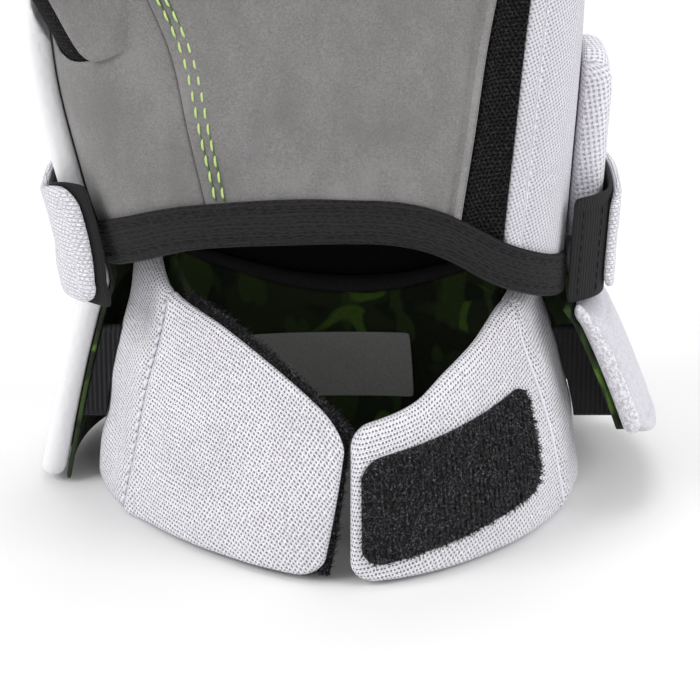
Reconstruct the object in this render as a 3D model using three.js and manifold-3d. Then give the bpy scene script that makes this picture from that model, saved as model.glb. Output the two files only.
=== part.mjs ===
// A left-hand lacrosse glove that stands on its wrist cuff. The palm faces the front (-Y), the
// fingers point up (+Z) and the thumb is on the left (-X). Sizes are in millimetres.
import * as THREE from "three";
import Module from "manifold-3d";

const wasm = await Module();
wasm.setup();

// Cloth, leather and padding
const GAP = 0.3; // clearance between pieces that are sewn or laid on each other
const LINING = 1.5; // knit lining of the hand
const STALL = 1.5; // mesh wall of a finger or thumb stall
const SKIN = 1.5; // suede of the palm, and mesh of the sides and the back
const TAPE = 1.0; // binding tape and webbing
const PAD = 6.5; // padded plates of the hand and the thumb side
const FINGER_PAD = 6; // padded plates of the fingers and the thumb
const KNUCKLE_PAD = 7.5; // padded plates over the knuckles
const BAND = 2.2; // padded mesh of the wrist band
const CUFF_PLATE = 6.5; // padded plates of the flared cuff
const CUFF_PAD = 7; // padded band of the wrist cuff
const FLAP_LEFT = 3.6; // mesh of the overlapping flap
const FLAP_RIGHT = 5.6; // mesh of the flap that carries the fastener patch
const LOOP = 1.6; // loop cloth behind the left flap
const HOOK = 1.0; // fastener patch on the right flap
const LABEL = 0.5;

// Hand
const KNUCKLE_HEIGHT = 200; // floor to the roots of the fingers
const HAND_WIDTH = 120;
const HAND_DEPTH = 62;
const HEM_HEIGHT = 82.6; // floor to the middle of the palm's arched hem
const HEM_TAPE = 11; // height of the binding tape on the palm
const HEM_TAPE_TURNS = [...Array.from({ length: 12 }, (_, i) => ((i + 8) * 90) / 7), 251];
const BACK_HEM = 40; // floor to the lower edge of the back

// Fingers and thumb
const FINGER_TAPER = 0.92; // width of a fingertip, as a share of its root
const FINGER_CURL = 24; // degrees that a finger bends towards the palm
const FINGER_DEPTH = 24; // depth of a finger just above its root
const TIP_ROUND = 12; // length of the rounded end of a finger
const THUMB_LENGTH = 126;
const THUMB_WIDTH = 32;
const THUMB_DEPTH = 29;
const THUMB_LEAN = [33, 12]; // degrees out from upright, at the root and at the tip
const THUMB_FORWARD = 20; // degrees that the thumb stands in front of the palm's plane
const THUMB_ROLL = 52; // degrees that its padded back is turned away from the outside
const THUMB_ROOT = { side: 0.77, forward: 0.16, up: 0.56 }; // shares of the hand's sizes

// Wrist cuff, flared cuff and wrist band
const CUFF_HEIGHT = 70;
const FLARE_THUMB = 12.5; // how far the flared cuff stands out at the floor, on the thumb side
const FLARE_LITTLE = 22; // on the little finger's side
const FLARE_BACK = 19; // and at the back
const FLARE_TOP = 64; // floor to the flared cuff's upper edge
const PLATE_CLEAR = 3; // from there up to the padded plates of the hand
const FLARE_EDGE = { thumb: 93, little: -108 }; // degrees round to its front edges
const BAND_LOW = 57;
const BAND_HIGH = 86;
const STRAP_LOW = 19; // elastic straps between the two cuffs
const STRAP_HIGH = 45;
const STRAP = 1.5;
const STRAP_Y = -1.4;

// Layers over the hand's lining, counted outwards from its outer face
const SKIN_IN = GAP;
const SKIN_OUT = SKIN_IN + SKIN;
const PAD_IN = SKIN_OUT + GAP;
const FLARE_IN = PAD_IN + GAP;
const FLARE_LINING = 1.2;
const PLATE_IN = FLARE_LINING + GAP;
const BAND_IN = FLARE_IN + PLATE_IN + CUFF_PLATE + 3 * GAP;

// The hand's sections. at is a share of KNUCKLE_HEIGHT, left and right are shares of half the
// hand's width, front and back shares of half its depth, and boxy is the section's squareness.
const HAND_SECTIONS = [
  { at: 0.18, left: 0.95, right: 0.86, front: 1.0, back: 0.97, boxy: 2.5 },
  { at: 0.3, left: 0.967, right: 0.872, front: 1.03, back: 0.97, boxy: 2.6 },
  { at: 0.45, left: 1.1, right: 0.9, front: 1.03, back: 0.97, boxy: 2.7 },
  { at: 0.6, left: 1.2, right: 0.93, front: 1.0, back: 0.92, boxy: 2.8 },
  { at: 0.7, left: 1.19, right: 0.94, front: 0.96, back: 0.87, boxy: 2.9 },
  { at: 0.79, left: 1.0, right: 0.92, front: 0.88, back: 0.79, boxy: 3.2 },
  { at: 0.88, left: 0.84, right: 0.86, front: 0.78, back: 0.66, boxy: 3.8 },
  { at: 1.0, left: 0.777, right: 0.777, front: 0.66, back: 0.47, boxy: 4.6 },
];

// The wrist cuff's outer face, in shares of CUFF_HEIGHT and of half HAND_WIDTH. Its front runs
// to a blunt prow. Its back above the foot follows the inside of the hand.
const CUFF_SECTIONS = [
  { at: 0, left: 1.05, right: 0.95, front: 1.0, back: 0.57 },
  { at: 0.31, left: 1.01, right: 0.92, front: 0.955, back: 0.52 },
  { at: 0.5, left: 0.99, right: 0.88, front: 0.915, back: 0.485 },
  { at: 0.75, left: 0.945, right: 0.82, front: 0.85, back: 0.47 },
  { at: 1.0, left: 0.9, right: 0.77, front: 0.77, back: 0.47 },
];
const CUFF_PROW = { left: 1.5, right: 1.7 }; // squareness of the front: 1 is a wedge, 2 an ellipse
const CUFF_BACK = 2.3;

// Height of the wrist cuff's upper edge, as a share of CUFF_HEIGHT, by degrees round from the
// back: the right flap comes first and the left flap last.
const CUFF_EDGE = [
  { at: -180, high: 0.57 },
  { at: -168, high: 0.59 },
  { at: -156, high: 0.63 },
  { at: -146, high: 0.7 },
  { at: -133, high: 0.77 },
  { at: -121, high: 0.84 },
  { at: -105, high: 0.88 },
  { at: -85, high: 0.9 },
  { at: -45, high: 0.78 },
  { at: 0, high: 0.66 },
  { at: 45, high: 0.81 },
  { at: 85, high: 0.97 },
  { at: 105, high: 0.97 },
  { at: 119, high: 0.885 },
  { at: 138, high: 0.83 },
  { at: 157, high: 0.715 },
  { at: 180, high: 0.52 },
];
// The slanting seams and ends of the flaps, in degrees round, from the floor up to the height
// at. The left flap begins at the crease and the right flap at the ridge. Heights here are
// shares of CUFF_HEIGHT.
const CREASE = { low: 113, high: 119, at: 0.886 };
const RIDGE = { low: -110, high: -117, at: 0.714 };
const LEFT_TIP = { low: 168.5, high: 177.8, at: 0.571 };
const RIGHT_TIP = { low: 180.3, high: 180.3, at: 0.571 };
const LABEL_PLACE = { turns: [-17, 46], low: 0.186, high: 0.471 };
const HOOK_PATCH = { turns: [183.5, 239], low: [0.057, 0.15], high: [0.47, 0.56] };

// How far the flared cuff stands out, by height as a share of FLARE_TOP.
const FLARE_CURVE = [
  { at: 0, spread: 1.04 },
  { at: 0.44, spread: 0.6 },
  { at: 0.77, spread: 0.2 },
  { at: 0.88, spread: 0 },
  { at: 1, spread: 0 },
];
// Height of its lower edge, as a share of FLARE_TOP, by degrees round from the back.
const FLARE_FOOT = [
  { at: -108, low: 0.38 },
  { at: -85, low: 0.27 },
  { at: 0, low: 0.12 },
  { at: 93, low: 0.07 },
];
// Height of its upper edge, which gives way to the wrist band's end.
const FLARE_RIM = [
  { at: -108, high: 0.85 },
  { at: -90, high: 0.87 },
  { at: -77, high: 1 },
  { at: 93, high: 1 },
];

// How far the wrist band's inner face lies outside the hand, by degrees round from the back.
const BAND_LIFT = [
  { at: -108, out: PAD_IN + 2.5 },
  { at: -97, out: BAND_IN - 0.3 },
  { at: -88, out: BAND_IN },
  { at: 50, out: BAND_IN },
  { at: 85, out: BAND_IN + 1.5 },
  { at: 99, out: BAND_IN + 3 },
  { at: 110, out: BAND_IN - 0.5 },
  { at: 122, out: BAND_IN - 5.3 },
];
const BAND_ENDS = { lining: [-107, 121], outer: [-98, 118] };

// Height of the hand's lower edge, as a share of HEM_HEIGHT, by degrees round from the back.
const HEM_EDGE = [
  { at: 0, high: BACK_HEM / HEM_HEIGHT },
  { at: 40, high: 0.55 },
  { at: 80, high: 0.74 },
  { at: 99, high: 0.8 },
  { at: 127, high: 0.886 },
  { at: 152, high: 0.968 },
  { at: 178, high: 1.0 },
  { at: 187, high: 0.993 },
  { at: 197, high: 0.954 },
  { at: 214, high: 0.85 },
  { at: 226, high: 0.798 },
  { at: 245, high: 0.741 },
  { at: 265, high: 0.7 },
  { at: 320, high: 0.55 },
  { at: 360, high: BACK_HEM / HEM_HEIGHT },
];

// Seams of the front, across the palm in shares of half the hand's width, by height as a share
// of KNUCKLE_HEIGHT: the thumb seam, the suede's edge, and the far edge of the mesh gusset.
const SEAMS = [
  { at: 0.27, thumb: -0.5, suede: 0.41, gusset: 0.6 },
  { at: 0.4, thumb: -0.545, suede: 0.43, gusset: 0.62 },
  { at: 0.55, thumb: -0.645, suede: 0.495, gusset: 0.663 },
  { at: 0.66, thumb: -0.72, suede: 0.541, gusset: 0.695 },
  { at: 0.82, thumb: -0.94, suede: 0.63, gusset: 0.75 },
  { at: 1.0, thumb: -1.0, suede: 0.68, gusset: 0.77 },
];
const SIDE_MOST = 0.985; // a seam stops at this share of the section's half width
const THUMB_SEAM_BACK = 99; // degrees round to the thumb side's back seam
const SIDE_SEAM_BACK = -72; // and to the little finger side's back seam

// length is a share of KNUCKLE_HEIGHT, and fan is degrees outwards.
const FINGERS = [
  { name: "index", length: 0.45, fan: -4 },
  { name: "middle", length: 0.52, fan: -1 },
  { name: "ring", length: 0.48, fan: 2.5 },
  { name: "little", length: 0.37, fan: 6 },
];

const rad = THREE.MathUtils.degToRad;
const deg = THREE.MathUtils.radToDeg;
const { lerp, clamp } = THREE.MathUtils;
const power = (x, p) => Math.sign(x) * Math.abs(x) ** p;

// A column of a table, on a smooth curve through its rows.
function read(rows, column, at) {
  const last = rows.length - 1;
  const t = clamp(at, rows[0].at, rows[last].at);
  let i = 0;
  while (i < last - 1 && t > rows[i + 1].at) i += 1;
  const slope = (k) => {
    const a = rows[Math.max(k - 1, 0)];
    const b = rows[Math.min(k + 1, last)];
    return (b[column] - a[column]) / (b.at - a.at);
  };
  const span = rows[i + 1].at - rows[i].at;
  const s = (t - rows[i].at) / span;
  const rise = rows[i + 1][column] - rows[i][column];
  const a = slope(i) * span - rise;
  const b = rise - slope(i + 1) * span;
  return rows[i][column] + s * rise + s * (1 - s) * (a * (1 - s) + b * s);
}

// A point of an oval section, out millimetres outside it, at degrees round from the back.
function oval(half, turn, out) {
  const s = Math.sin(rad(turn));
  const c = Math.cos(rad(turn));
  const p = 2 / (c < 0 ? half.prow : half.boxy);
  const x = -power(s, p) * ((s > 0 ? half.left : half.right) + out);
  const y = power(c, p) * ((c > 0 ? half.back : half.front) + out);
  return [x, y];
}

function handSection(z) {
  const at = z / KNUCKLE_HEIGHT;
  const boxy = read(HAND_SECTIONS, "boxy", at);
  return {
    left: (read(HAND_SECTIONS, "left", at) * HAND_WIDTH) / 2,
    right: (read(HAND_SECTIONS, "right", at) * HAND_WIDTH) / 2,
    front: (read(HAND_SECTIONS, "front", at) * HAND_DEPTH) / 2,
    back: (read(HAND_SECTIONS, "back", at) * HAND_DEPTH) / 2,
    boxy,
    prow: boxy,
  };
}

function hand(turn, z, out) {
  return new THREE.Vector3(...oval(handSection(z), turn, out), z);
}

// The wrist cuff's outer face. Its back stays inside the hand's lining.
function cuff(turn, z, out) {
  const at = z / CUFF_HEIGHT;
  const size = (column) => (read(CUFF_SECTIONS, column, at) * HAND_WIDTH) / 2;
  const tucked = handSection(Math.max(z, BACK_HEM)).back - LINING - 4 * GAP;
  const half = {
    left: size("left"),
    right: size("right"),
    front: size("front"),
    back: z < BACK_HEM ? Math.max(tucked, size("back")) : tucked,
    boxy: CUFF_BACK,
    prow: turn % 360 > 180 || turn < 0 ? CUFF_PROW.right : CUFF_PROW.left,
  };
  return new THREE.Vector3(...oval(half, turn, out), z);
}

// The inner face of the flared cuff, which hugs the hand at its upper edge.
function flare(turn, z, out) {
  const top = handSection(clamp(z, BAND_LOW, FLARE_TOP));
  const spread = read(FLARE_CURVE, "spread", z / FLARE_TOP);
  const half = {
    left: top.left + FLARE_IN + FLARE_THUMB * spread,
    right: top.right + FLARE_IN + FLARE_LITTLE * spread,
    front: top.front + FLARE_IN,
    back: top.back + FLARE_IN + FLARE_BACK * spread,
    boxy: top.boxy,
    prow: top.boxy,
  };
  return new THREE.Vector3(...oval(half, turn, out), z);
}

// Degrees round to the place x on the hand's front or back at height z.
function turnAt(x, z, front) {
  const { left, right, boxy } = handSection(z);
  const share = Math.min(Math.abs(x) / (x < 0 ? left : right), SIDE_MOST);
  const side = deg(Math.asin(share ** (boxy / 2))) * (x < 0 ? 1 : -1);
  return front ? 180 - side : side;
}

const palmTurn = (seam, z) =>
  turnAt((read(SEAMS, seam, z / KNUCKLE_HEIGHT) * HAND_WIDTH) / 2, z, true);

// The height of the hand's lower edge: arched over the palm, and lower at the back.
const hem = (turn) => read(HEM_EDGE, "high", (turn + 360) % 360) * HEM_HEIGHT;

// The fingers' shared root: a row of four boxy tubes on the hand's top section.
const knuckles = handSection(KNUCKLE_HEIGHT);
const FINGER_PITCH = (knuckles.left + knuckles.right) / FINGERS.length;
const FINGER_HALF = FINGER_PITCH / 2 - GAP;
const FINGER_ROOT_HALF = (knuckles.front + knuckles.back) / 2;
const FINGER_ROOT_Y = (knuckles.back - knuckles.front) / 2;

// A tube along an arc, with a rounded end. q runs from 0 at the root to 1 where the rounding
// starts and 2 at the tip.
function stall(arc, turn, q, out, side = out) {
  const straight = arc.length - TIP_ROUND;
  const dome = rad(90 * clamp(q - 1, 0, 1));
  const s = q < 1 ? q * straight : straight + (TIP_ROUND + out) * Math.sin(dome);
  const share = clamp(s / straight, 0, 1);
  const wide = lerp(arc.wide[0], arc.wide[1], share);
  const deep = lerp(arc.deep[0], arc.deep[1], share ** 0.5);
  const p = 2 / lerp(arc.boxy[0], arc.boxy[1], share);
  const { centre, across, back } = arc.frame(s);
  const w = (wide + side) * Math.cos(dome) * power(Math.sin(rad(turn)), p);
  const n = (deep + out) * Math.cos(dome) * power(Math.cos(rad(turn)), p);
  return centre.addScaledVector(across, -w).addScaledVector(back, n);
}

function fingerArc({ length, fan }, i) {
  const reach = length * KNUCKLE_HEIGHT;
  const x = -knuckles.left + FINGER_PITCH * (i + 0.5);
  const bend = rad(FINGER_CURL) / reach;
  return {
    length: reach,
    wide: [FINGER_HALF, FINGER_HALF * FINGER_TAPER],
    deep: [FINGER_ROOT_HALF, FINGER_DEPTH / 2],
    boxy: [4, 2.6],
    frame(s) {
      const curl = bend * s;
      const up = Math.sin(curl) / bend;
      const forward = (1 - Math.cos(curl)) / bend;
      return {
        centre: new THREE.Vector3(
          x + up * Math.tan(rad(fan)),
          FINGER_ROOT_Y - forward,
          KNUCKLE_HEIGHT + up,
        ),
        across: new THREE.Vector3(1, 0, 0),
        back: new THREE.Vector3(0, Math.cos(curl), Math.sin(curl)),
      };
    },
  };
}

function thumbArc() {
  const up = new THREE.Vector3(0, 0, 1);
  const forward = rad(THUMB_FORWARD);
  const outwards = new THREE.Vector3(-Math.cos(forward), -Math.sin(forward), 0);
  const behind = new THREE.Vector3(-Math.sin(forward), Math.cos(forward), 0);
  const [from, to] = THUMB_LEAN.map(rad);
  const bend = (to - from) / THUMB_LENGTH;
  const root = new THREE.Vector3(
    (-THUMB_ROOT.side * HAND_WIDTH) / 2,
    (-THUMB_ROOT.forward * HAND_DEPTH) / 2,
    THUMB_ROOT.up * KNUCKLE_HEIGHT,
  );
  return {
    length: THUMB_LENGTH,
    wide: [THUMB_WIDTH / 2, (THUMB_WIDTH * FINGER_TAPER) / 2],
    deep: [THUMB_DEPTH / 2, (THUMB_DEPTH * FINGER_TAPER) / 2],
    boxy: [2.5, 2.3],
    frame(s) {
      const lean = from + bend * s;
      const out = (Math.cos(from) - Math.cos(lean)) / bend;
      const rise = (Math.sin(lean) - Math.sin(from)) / bend;
      const along = outwards.clone().multiplyScalar(Math.sin(lean));
      along.addScaledVector(up, Math.cos(lean));
      const away = outwards.clone().multiplyScalar(Math.cos(lean));
      away.addScaledVector(up, -Math.sin(lean));
      const roll = rad(THUMB_ROLL);
      const back = away.multiplyScalar(Math.cos(roll));
      back.addScaledVector(behind, Math.sin(roll));
      return {
        centre: root.clone().addScaledVector(outwards, out).addScaledVector(up, rise),
        across: back.clone().cross(along),
        back,
      };
    },
  };
}

const arcs = FINGERS.map(fingerArc);
const thumb = thumbArc();
const fingerPoint = (arc) => (turn, q, out) => stall(arc, turn, q, out);
const thumbPoint = fingerPoint(thumb);

const steps = (n, from, to) =>
  Array.from({ length: n + 1 }, (_, i) => lerp(from, to, i / n));
const grid = (as, bs, point) => as.map((a) => bs.map((b) => point(a, b)));

// A closed body between an outer and an inner grid of points, with a rim along each open side.
// loop joins the last column to the first, and points that meet close the body there.
function wall(outer, inner, loop = false) {
  const positions = [];
  const near = (p, q) => p.distanceToSquared(q) < 1e-6;
  const triangle = (a, b, c) => {
    if (near(a, b) || near(b, c) || near(c, a)) return;
    positions.push(...a.toArray(), ...b.toArray(), ...c.toArray());
  };
  const quad = (a, b, c, d) => {
    triangle(a, b, c);
    triangle(a, c, d);
  };
  const columns = outer.length;
  const top = outer[0].length - 1;
  for (let i = 0; i < (loop ? columns : columns - 1); i += 1) {
    const o = [outer[i], outer[(i + 1) % columns]];
    const n = [inner[i], inner[(i + 1) % columns]];
    for (let j = 0; j < top; j += 1) {
      quad(o[0][j], o[1][j], o[1][j + 1], o[0][j + 1]);
      quad(n[0][j], n[0][j + 1], n[1][j + 1], n[1][j]);
    }
    quad(o[0][0], n[0][0], n[1][0], o[1][0]);
    quad(o[0][top], o[1][top], n[1][top], n[0][top]);
  }
  for (let j = 0; j < top && !loop; j += 1) {
    const [a, b] = [outer[0], inner[0]];
    const [c, d] = [outer[columns - 1], inner[columns - 1]];
    quad(a[j], a[j + 1], b[j + 1], b[j]);
    quad(c[j], d[j], d[j + 1], c[j + 1]);
  }
  return solidOf(positions);
}

// The solid inside a closed list of triangles, whose equal corners are merged.
function solidOf(positions) {
  const corners = new Map();
  const vertProperties = [];
  const triVerts = [];
  for (let i = 0; i < positions.length; i += 3) {
    const corner = positions.slice(i, i + 3);
    const key = corner.map((n) => Math.round(n * 1000)).join();
    if (!corners.has(key)) {
      corners.set(key, corners.size);
      vertProperties.push(...corner);
    }
    triVerts.push(corners.get(key));
  }
  const mesh = new wasm.Mesh({
    numProp: 3,
    vertProperties: new Float32Array(vertProperties),
    triVerts: new Uint32Array(triVerts),
  });
  return new wasm.Manifold(mesh);
}

// A surface with the columns and rows of its facets. All of its layers share them, so that the
// flat facets of one layer never reach through the next.
function facets(surface, columns, rows) {
  const step = 360 / columns;
  const ring = steps(columns - 1, 0, 360 - step);
  const face = (out) => grid(ring, rows, (turn, row) => surface(turn, row, out));

  // A point on a facet rather than on the curved surface.
  function point(turn, row, out) {
    const column = Math.floor(turn / step + 1e-6) * step;
    const last = rows.length - 2;
    const i = clamp(rows.findLastIndex((r) => r <= row), 0, last);
    const up = (row - rows[i]) / (rows[i + 1] - rows[i]);
    const at = (t) => surface(t, rows[i], out).lerp(surface(t, rows[i + 1], out), up);
    return at(column).lerp(at(column + step), (turn - column) / step);
  }

  // A piece of a layer between two turns and between a low and a high edge. An end can slant,
  // as a function of the row.
  function piece([from, to], [start, end], low, high) {
    const turnOf = (edge, row) => (typeof edge === "function" ? edge(row) : edge);
    const first = Math.ceil((turnOf(start, rows[0]) + 0.3) / step);
    const last = Math.floor((turnOf(end, rows[0]) - 0.3) / step);
    const inner = steps(last - first, first, last).map((n) => n * step);
    const place = (out) =>
      grid([start, ...inner, end], rows, (edge, level) => {
        const turn = turnOf(edge, level);
        const row = clamp(level, low(turn), high(turn));
        return point(turnOf(edge, row), row, out);
      });
    return wall(place(to), place(from));
  }

  return {
    point,
    piece,
    shell: (from, to) => wall(face(to), face(from), true),
    shellAbove(from, to, low) {
      const place = (out) =>
        grid(ring, rows, (turn, row) => point(turn, Math.max(row, low(turn)), out));
      return wall(place(to), place(from), true);
    },
    fill(out) {
      const outer = face(out);
      const axis = rows.map((_, j) => {
        const centre = new THREE.Vector3();
        outer.forEach((column) => centre.add(column[j]));
        return centre.divideScalar(ring.length);
      });
      return wall(outer, outer.map(() => axis), true);
    },
  };
}

const levels = (height, shares) => shares.map((at) => at * height);
const HAND_LEVELS = levels(KNUCKLE_HEIGHT, [0.15, 0.3, 0.45, 0.57, 0.66, 0.74, 0.82, 0.9, 1]);
const handFacets = facets(hand, 28, HAND_LEVELS);
const cuffFacets = facets(cuff, 30, levels(CUFF_HEIGHT, [0, 0.3, 0.65, 1.03]));
const flareFacets = facets(flare, 28, levels(FLARE_TOP, [-0.02, 0.3, 0.56, 0.77, 0.88, 1]));
// The wrist band hugs the padded back. Its ends come round to the palm's sides.
const band = (turn, z, out) => hand(turn, z, read(BAND_LIFT, "out", turn) + out);
const bandFacets = facets(band, 28, steps(2, BAND_LOW - GAP, BAND_HIGH + GAP));
const STALL_COLUMNS = 12;
const STALL_ROWS = [0, 0.3, 0.65, 1, 1.5, 2];
const fingerFacets = arcs.map((arc) => facets(fingerPoint(arc), STALL_COLUMNS, STALL_ROWS));
const thumbFacets = facets(thumbPoint, STALL_COLUMNS, STALL_ROWS);

// A turn moved along the hand by some millimetres.
function shifted(turn, z, distance) {
  const speed = hand(turn - 0.5, z, 0).distanceTo(hand(turn + 0.5, z, 0));
  return turn + distance / speed;
}

// The part of the hand between two seams, with half a clearance taken off each side.
function sector(from, to, columns) {
  const face = (out) =>
    grid(steps(columns, 0, 1), [...HAND_LEVELS, KNUCKLE_HEIGHT * 1.05], (a, z) => {
      const start = shifted(from(z), z, GAP / 2);
      const end = shifted(to(z), z, -GAP / 2);
      return hand(lerp(start, end, a), z, out);
    });
  return wall(face(PAD), face(-PAD));
}

const material = (color, roughness) =>
  new THREE.MeshStandardMaterial({ color, roughness, metalness: 0 });
const suede = material(0x7a7877, 0.95);
const knit = material(0xc9c7d2, 0.85);
const lining = material(0x161518, 0.85);
const webbing = material(0x1c1b1f, 0.8);
const leather = material(0xe9e9ec, 0.4);
const printed = material(0x16291c, 0.9);
const labelCloth = material(0xb9b9b9, 0.7);

const glove = new THREE.Group();

// Adds the largest body of a solid. Cuts can leave slivers beside it, which are dropped.
function add(name, solid, finish) {
  const largest = (a, b) => (b.volume() > a.volume() ? b : a);
  const mesh = solid.decompose().reduce(largest).getMesh();
  const positions = [];
  for (const corner of mesh.triVerts) {
    const at = corner * mesh.numProp;
    positions.push(...mesh.vertProperties.subarray(at, at + 3));
  }
  const geometry = new THREE.BufferGeometry();
  const array = new Float32Array(positions);
  geometry.setAttribute("position", new THREE.BufferAttribute(array, 3));
  const piece = new THREE.Mesh(geometry, finish.clone());
  piece.name = name;
  glove.add(piece);
}

const handSkin = handFacets.shellAbove(SKIN_IN, SKIN_OUT, hem);
const underSkin = handFacets.fill(GAP);
const overSkin = handFacets.fill(PAD_IN);
const thumbHole = thumbFacets.fill(GAP);
const overThumb = thumbFacets.fill(PAD_IN);

// The suede on the front of a stall, some facets wide, which joins the hand's suede below. The
// space that it needs has a clearance round it.
function stallFront(point, from, facetsWide, clearance = 0) {
  const half = (180 / STALL_COLUMNS) * facetsWide + clearance * 6;
  const turns = steps(facetsWide, 180 - half, 180 + half);
  const rows = [from, ...STALL_ROWS.slice(1, -1)];
  const face = (out) => grid(turns, rows, (turn, q) => point(turn, q, out));
  return wall(face(SKIN_OUT + clearance), face(SKIN_IN - clearance));
}

function addHand() {
  const tube = handFacets.shellAbove(-LINING, 0, hem);
  add("hand_lining", tube.subtract(thumbFacets.fill(-STALL)), lining);
  const seam = (name) => (z) => palmTurn(name, z);
  const edge = (turn) => () => turn;
  const cut = (from, to, columns) =>
    handSkin.intersect(sector(from, to, columns)).subtract(thumbHole);

  const thumbFront = stallFront(thumbPoint, 0.2, 6);
  const thumbSpace = stallFront(thumbPoint, 0.15, 6, GAP);
  const thumbSide = cut(edge(THUMB_SEAM_BACK), seam("thumb"), 4);
  add("thumb_panel", thumbSide.add(thumbFront.subtract(underSkin)), suede);

  const fronts = arcs.map((arc) => stallFront(fingerPoint(arc), -0.03, 4));
  const frontSpace = stallFront(fingerPoint(arcs.at(-1)), -0.05, 4, GAP);
  let palm = cut(seam("thumb"), seam("suede"), 5).subtract(thumbSpace);
  fronts.forEach((front) => {
    palm = palm.add(front.subtract(underSkin));
  });
  add("palm_panel", palm, suede);
  const gusset = cut(seam("suede"), seam("gusset"), 1).subtract(frontSpace);
  const side = cut(seam("gusset"), edge(360 + SIDE_SEAM_BACK), 4).subtract(frontSpace);
  const back = cut(edge(SIDE_SEAM_BACK), edge(THUMB_SEAM_BACK), 9).subtract(thumbSpace);
  add("side_gusset", gusset, knit);
  add("side_panel", side, knit);
  add("back_panel", back, knit);
}

function addStalls() {
  arcs.forEach((arc, i) => {
    const rows = [GAP / (arc.length - TIP_ROUND), ...STALL_ROWS.slice(1)];
    const tube = facets(fingerPoint(arc), STALL_COLUMNS, rows).shell(-STALL, 0);
    add(`${FINGERS[i].name}_stall`, tube, knit);
  });
  add("thumb_stall", thumbFacets.shell(-STALL, 0).subtract(underSkin), knit);
}

// The tape is folded round the hem: a leg outside the suede and a leg inside the lining.
function addBinding() {
  const inside = -LINING - GAP;
  const fold = (outer, inner, under) =>
    grid(HEM_TAPE_TURNS, [0, 1, 2, 3], (turn, i) => {
      const z = hem(turn) + (i === 0 || i === 3 ? HEM_TAPE : -under);
      return handFacets.point(turn, z, i < 2 ? outer : inner);
    });
  const outer = fold(PAD_IN + TAPE, inside - TAPE, GAP + TAPE);
  add("palm_binding", wall(fold(PAD_IN, inside, GAP), outer), webbing);
}

// Pads are drawn on a square from -1 to 1 whose corners are rounded off.
const ROUND = 0.34;
function roundCorners(x, y) {
  const ring = Math.max(Math.abs(x), Math.abs(y));
  if (ring === 0) return [0, 0];
  const cx = clamp(x / ring, ROUND - 1, 1 - ROUND);
  const cy = clamp(y / ring, ROUND - 1, 1 - ROUND);
  const ex = x / ring - cx;
  const ey = y / ring - cy;
  const size = Math.hypot(ex, ey) / ROUND || 1;
  return [ring * (cx + ex / size), ring * (cy + ey / size)];
}

const PAD_COLUMNS = [-1, -0.84, 0, 0.84, 1];
const PAD_ROWS = [-1, -0.7, 0.7, 1];
const SUNK = 1.5; // how far a pad's drawn base lies below its real one

// A padded patch on a surface. place gives the surface's two coordinates from the square's,
// and edge is the share of the thickness that is left at the rim.
function pad(point, place, base, thick, { edge = 0.4, xs = PAD_COLUMNS, ys = PAD_ROWS } = {}) {
  const at = (x, y, out) => point(...place(...roundCorners(x, y)), out);
  const crown = (x, y) => {
    const ring = Math.max(Math.abs(x), Math.abs(y));
    return base + thick * (edge + (1 - edge) * Math.sqrt(1 - ring ** 5));
  };
  const face = grid(xs, ys, (x, y) => at(x, y, crown(x, y)));
  return wall(face, grid(xs, ys, (x, y) => at(x, y, base - SUNK)));
}

// A place on a rectangle of turns and heights, or of other surface coordinates.
const patch = (turns, heights) => (x, y) => [
  lerp(turns[0], turns[1], (x + 1) / 2),
  lerp(heights[0], heights[1], (y + 1) / 2),
];

// A place on the hand's back, across in shares of the section's half width (the thumb side is
// negative) and up in shares of KNUCKLE_HEIGHT.
const backPatch = (across, up) => (x, y) => {
  const z = lerp(up[0], up[1], (y + 1) / 2) * KNUCKLE_HEIGHT;
  const share = lerp(across[1], across[0], (x + 1) / 2);
  const half = handSection(z);
  return [turnAt(share * (share < 0 ? half.left : half.right), z, false), z];
};

const BACK_COLUMNS = [
  { name: "thumb_side", across: [-0.92, -0.39] },
  { name: "middle", across: [-0.34, 0.34] },
  { name: "little_side", across: [0.39, 0.92] },
];
const PLATE_FOOT = (FLARE_TOP + PLATE_CLEAR) / KNUCKLE_HEIGHT;
const BACK_ROWS = [
  { name: "lower", up: [PLATE_FOOT, 0.525] },
  { name: "upper", up: [0.545, 0.735] },
];
const KNUCKLE_UP = [0.755, 0.965];
const SIDE_PAD = { turns: [-95, -68], up: [PLATE_FOOT + 0.01, 0.6] };
const SIDE_PAD_THICK = 8.5;
const THUMB_PLATE = { turns: [69, 102], up: [PLATE_FOOT, 0.7] };

function addHandPads() {
  const onHand = (place, thick, options) =>
    pad(hand, place, PAD_IN, thick, options).subtract(overSkin);
  BACK_ROWS.forEach((row) => {
    BACK_COLUMNS.forEach((column) => {
      const place = backPatch(column.across, row.up);
      add(`${row.name}_pad_${column.name}`, onHand(place, PAD).subtract(overThumb), leather);
    });
  });
  FINGERS.forEach(({ name }, i) => {
    const across = [i, i + 1].map((n) => (2 * n) / FINGERS.length - 1);
    const inset = [across[0] + 0.03, across[1] - 0.03].map((n) => n * 0.96);
    add(`${name}_knuckle_pad`, onHand(backPatch(inset, KNUCKLE_UP), KNUCKLE_PAD), leather);
  });
  const upTo = ({ turns, up }) => patch(turns, up.map((at) => at * KNUCKLE_HEIGHT));
  const plate = onHand(upTo(THUMB_PLATE), PAD, { edge: 0.7 }).subtract(overThumb);
  add("thumb_side_plate", plate, leather);
  const all = [() => 0, () => KNUCKLE_HEIGHT];
  const bandSpace = bandFacets.piece([-GAP, SIDE_PAD_THICK], BAND_ENDS.lining, ...all);
  add("side_pad", onHand(upTo(SIDE_PAD), SIDE_PAD_THICK).subtract(bandSpace), knit);
}

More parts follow.
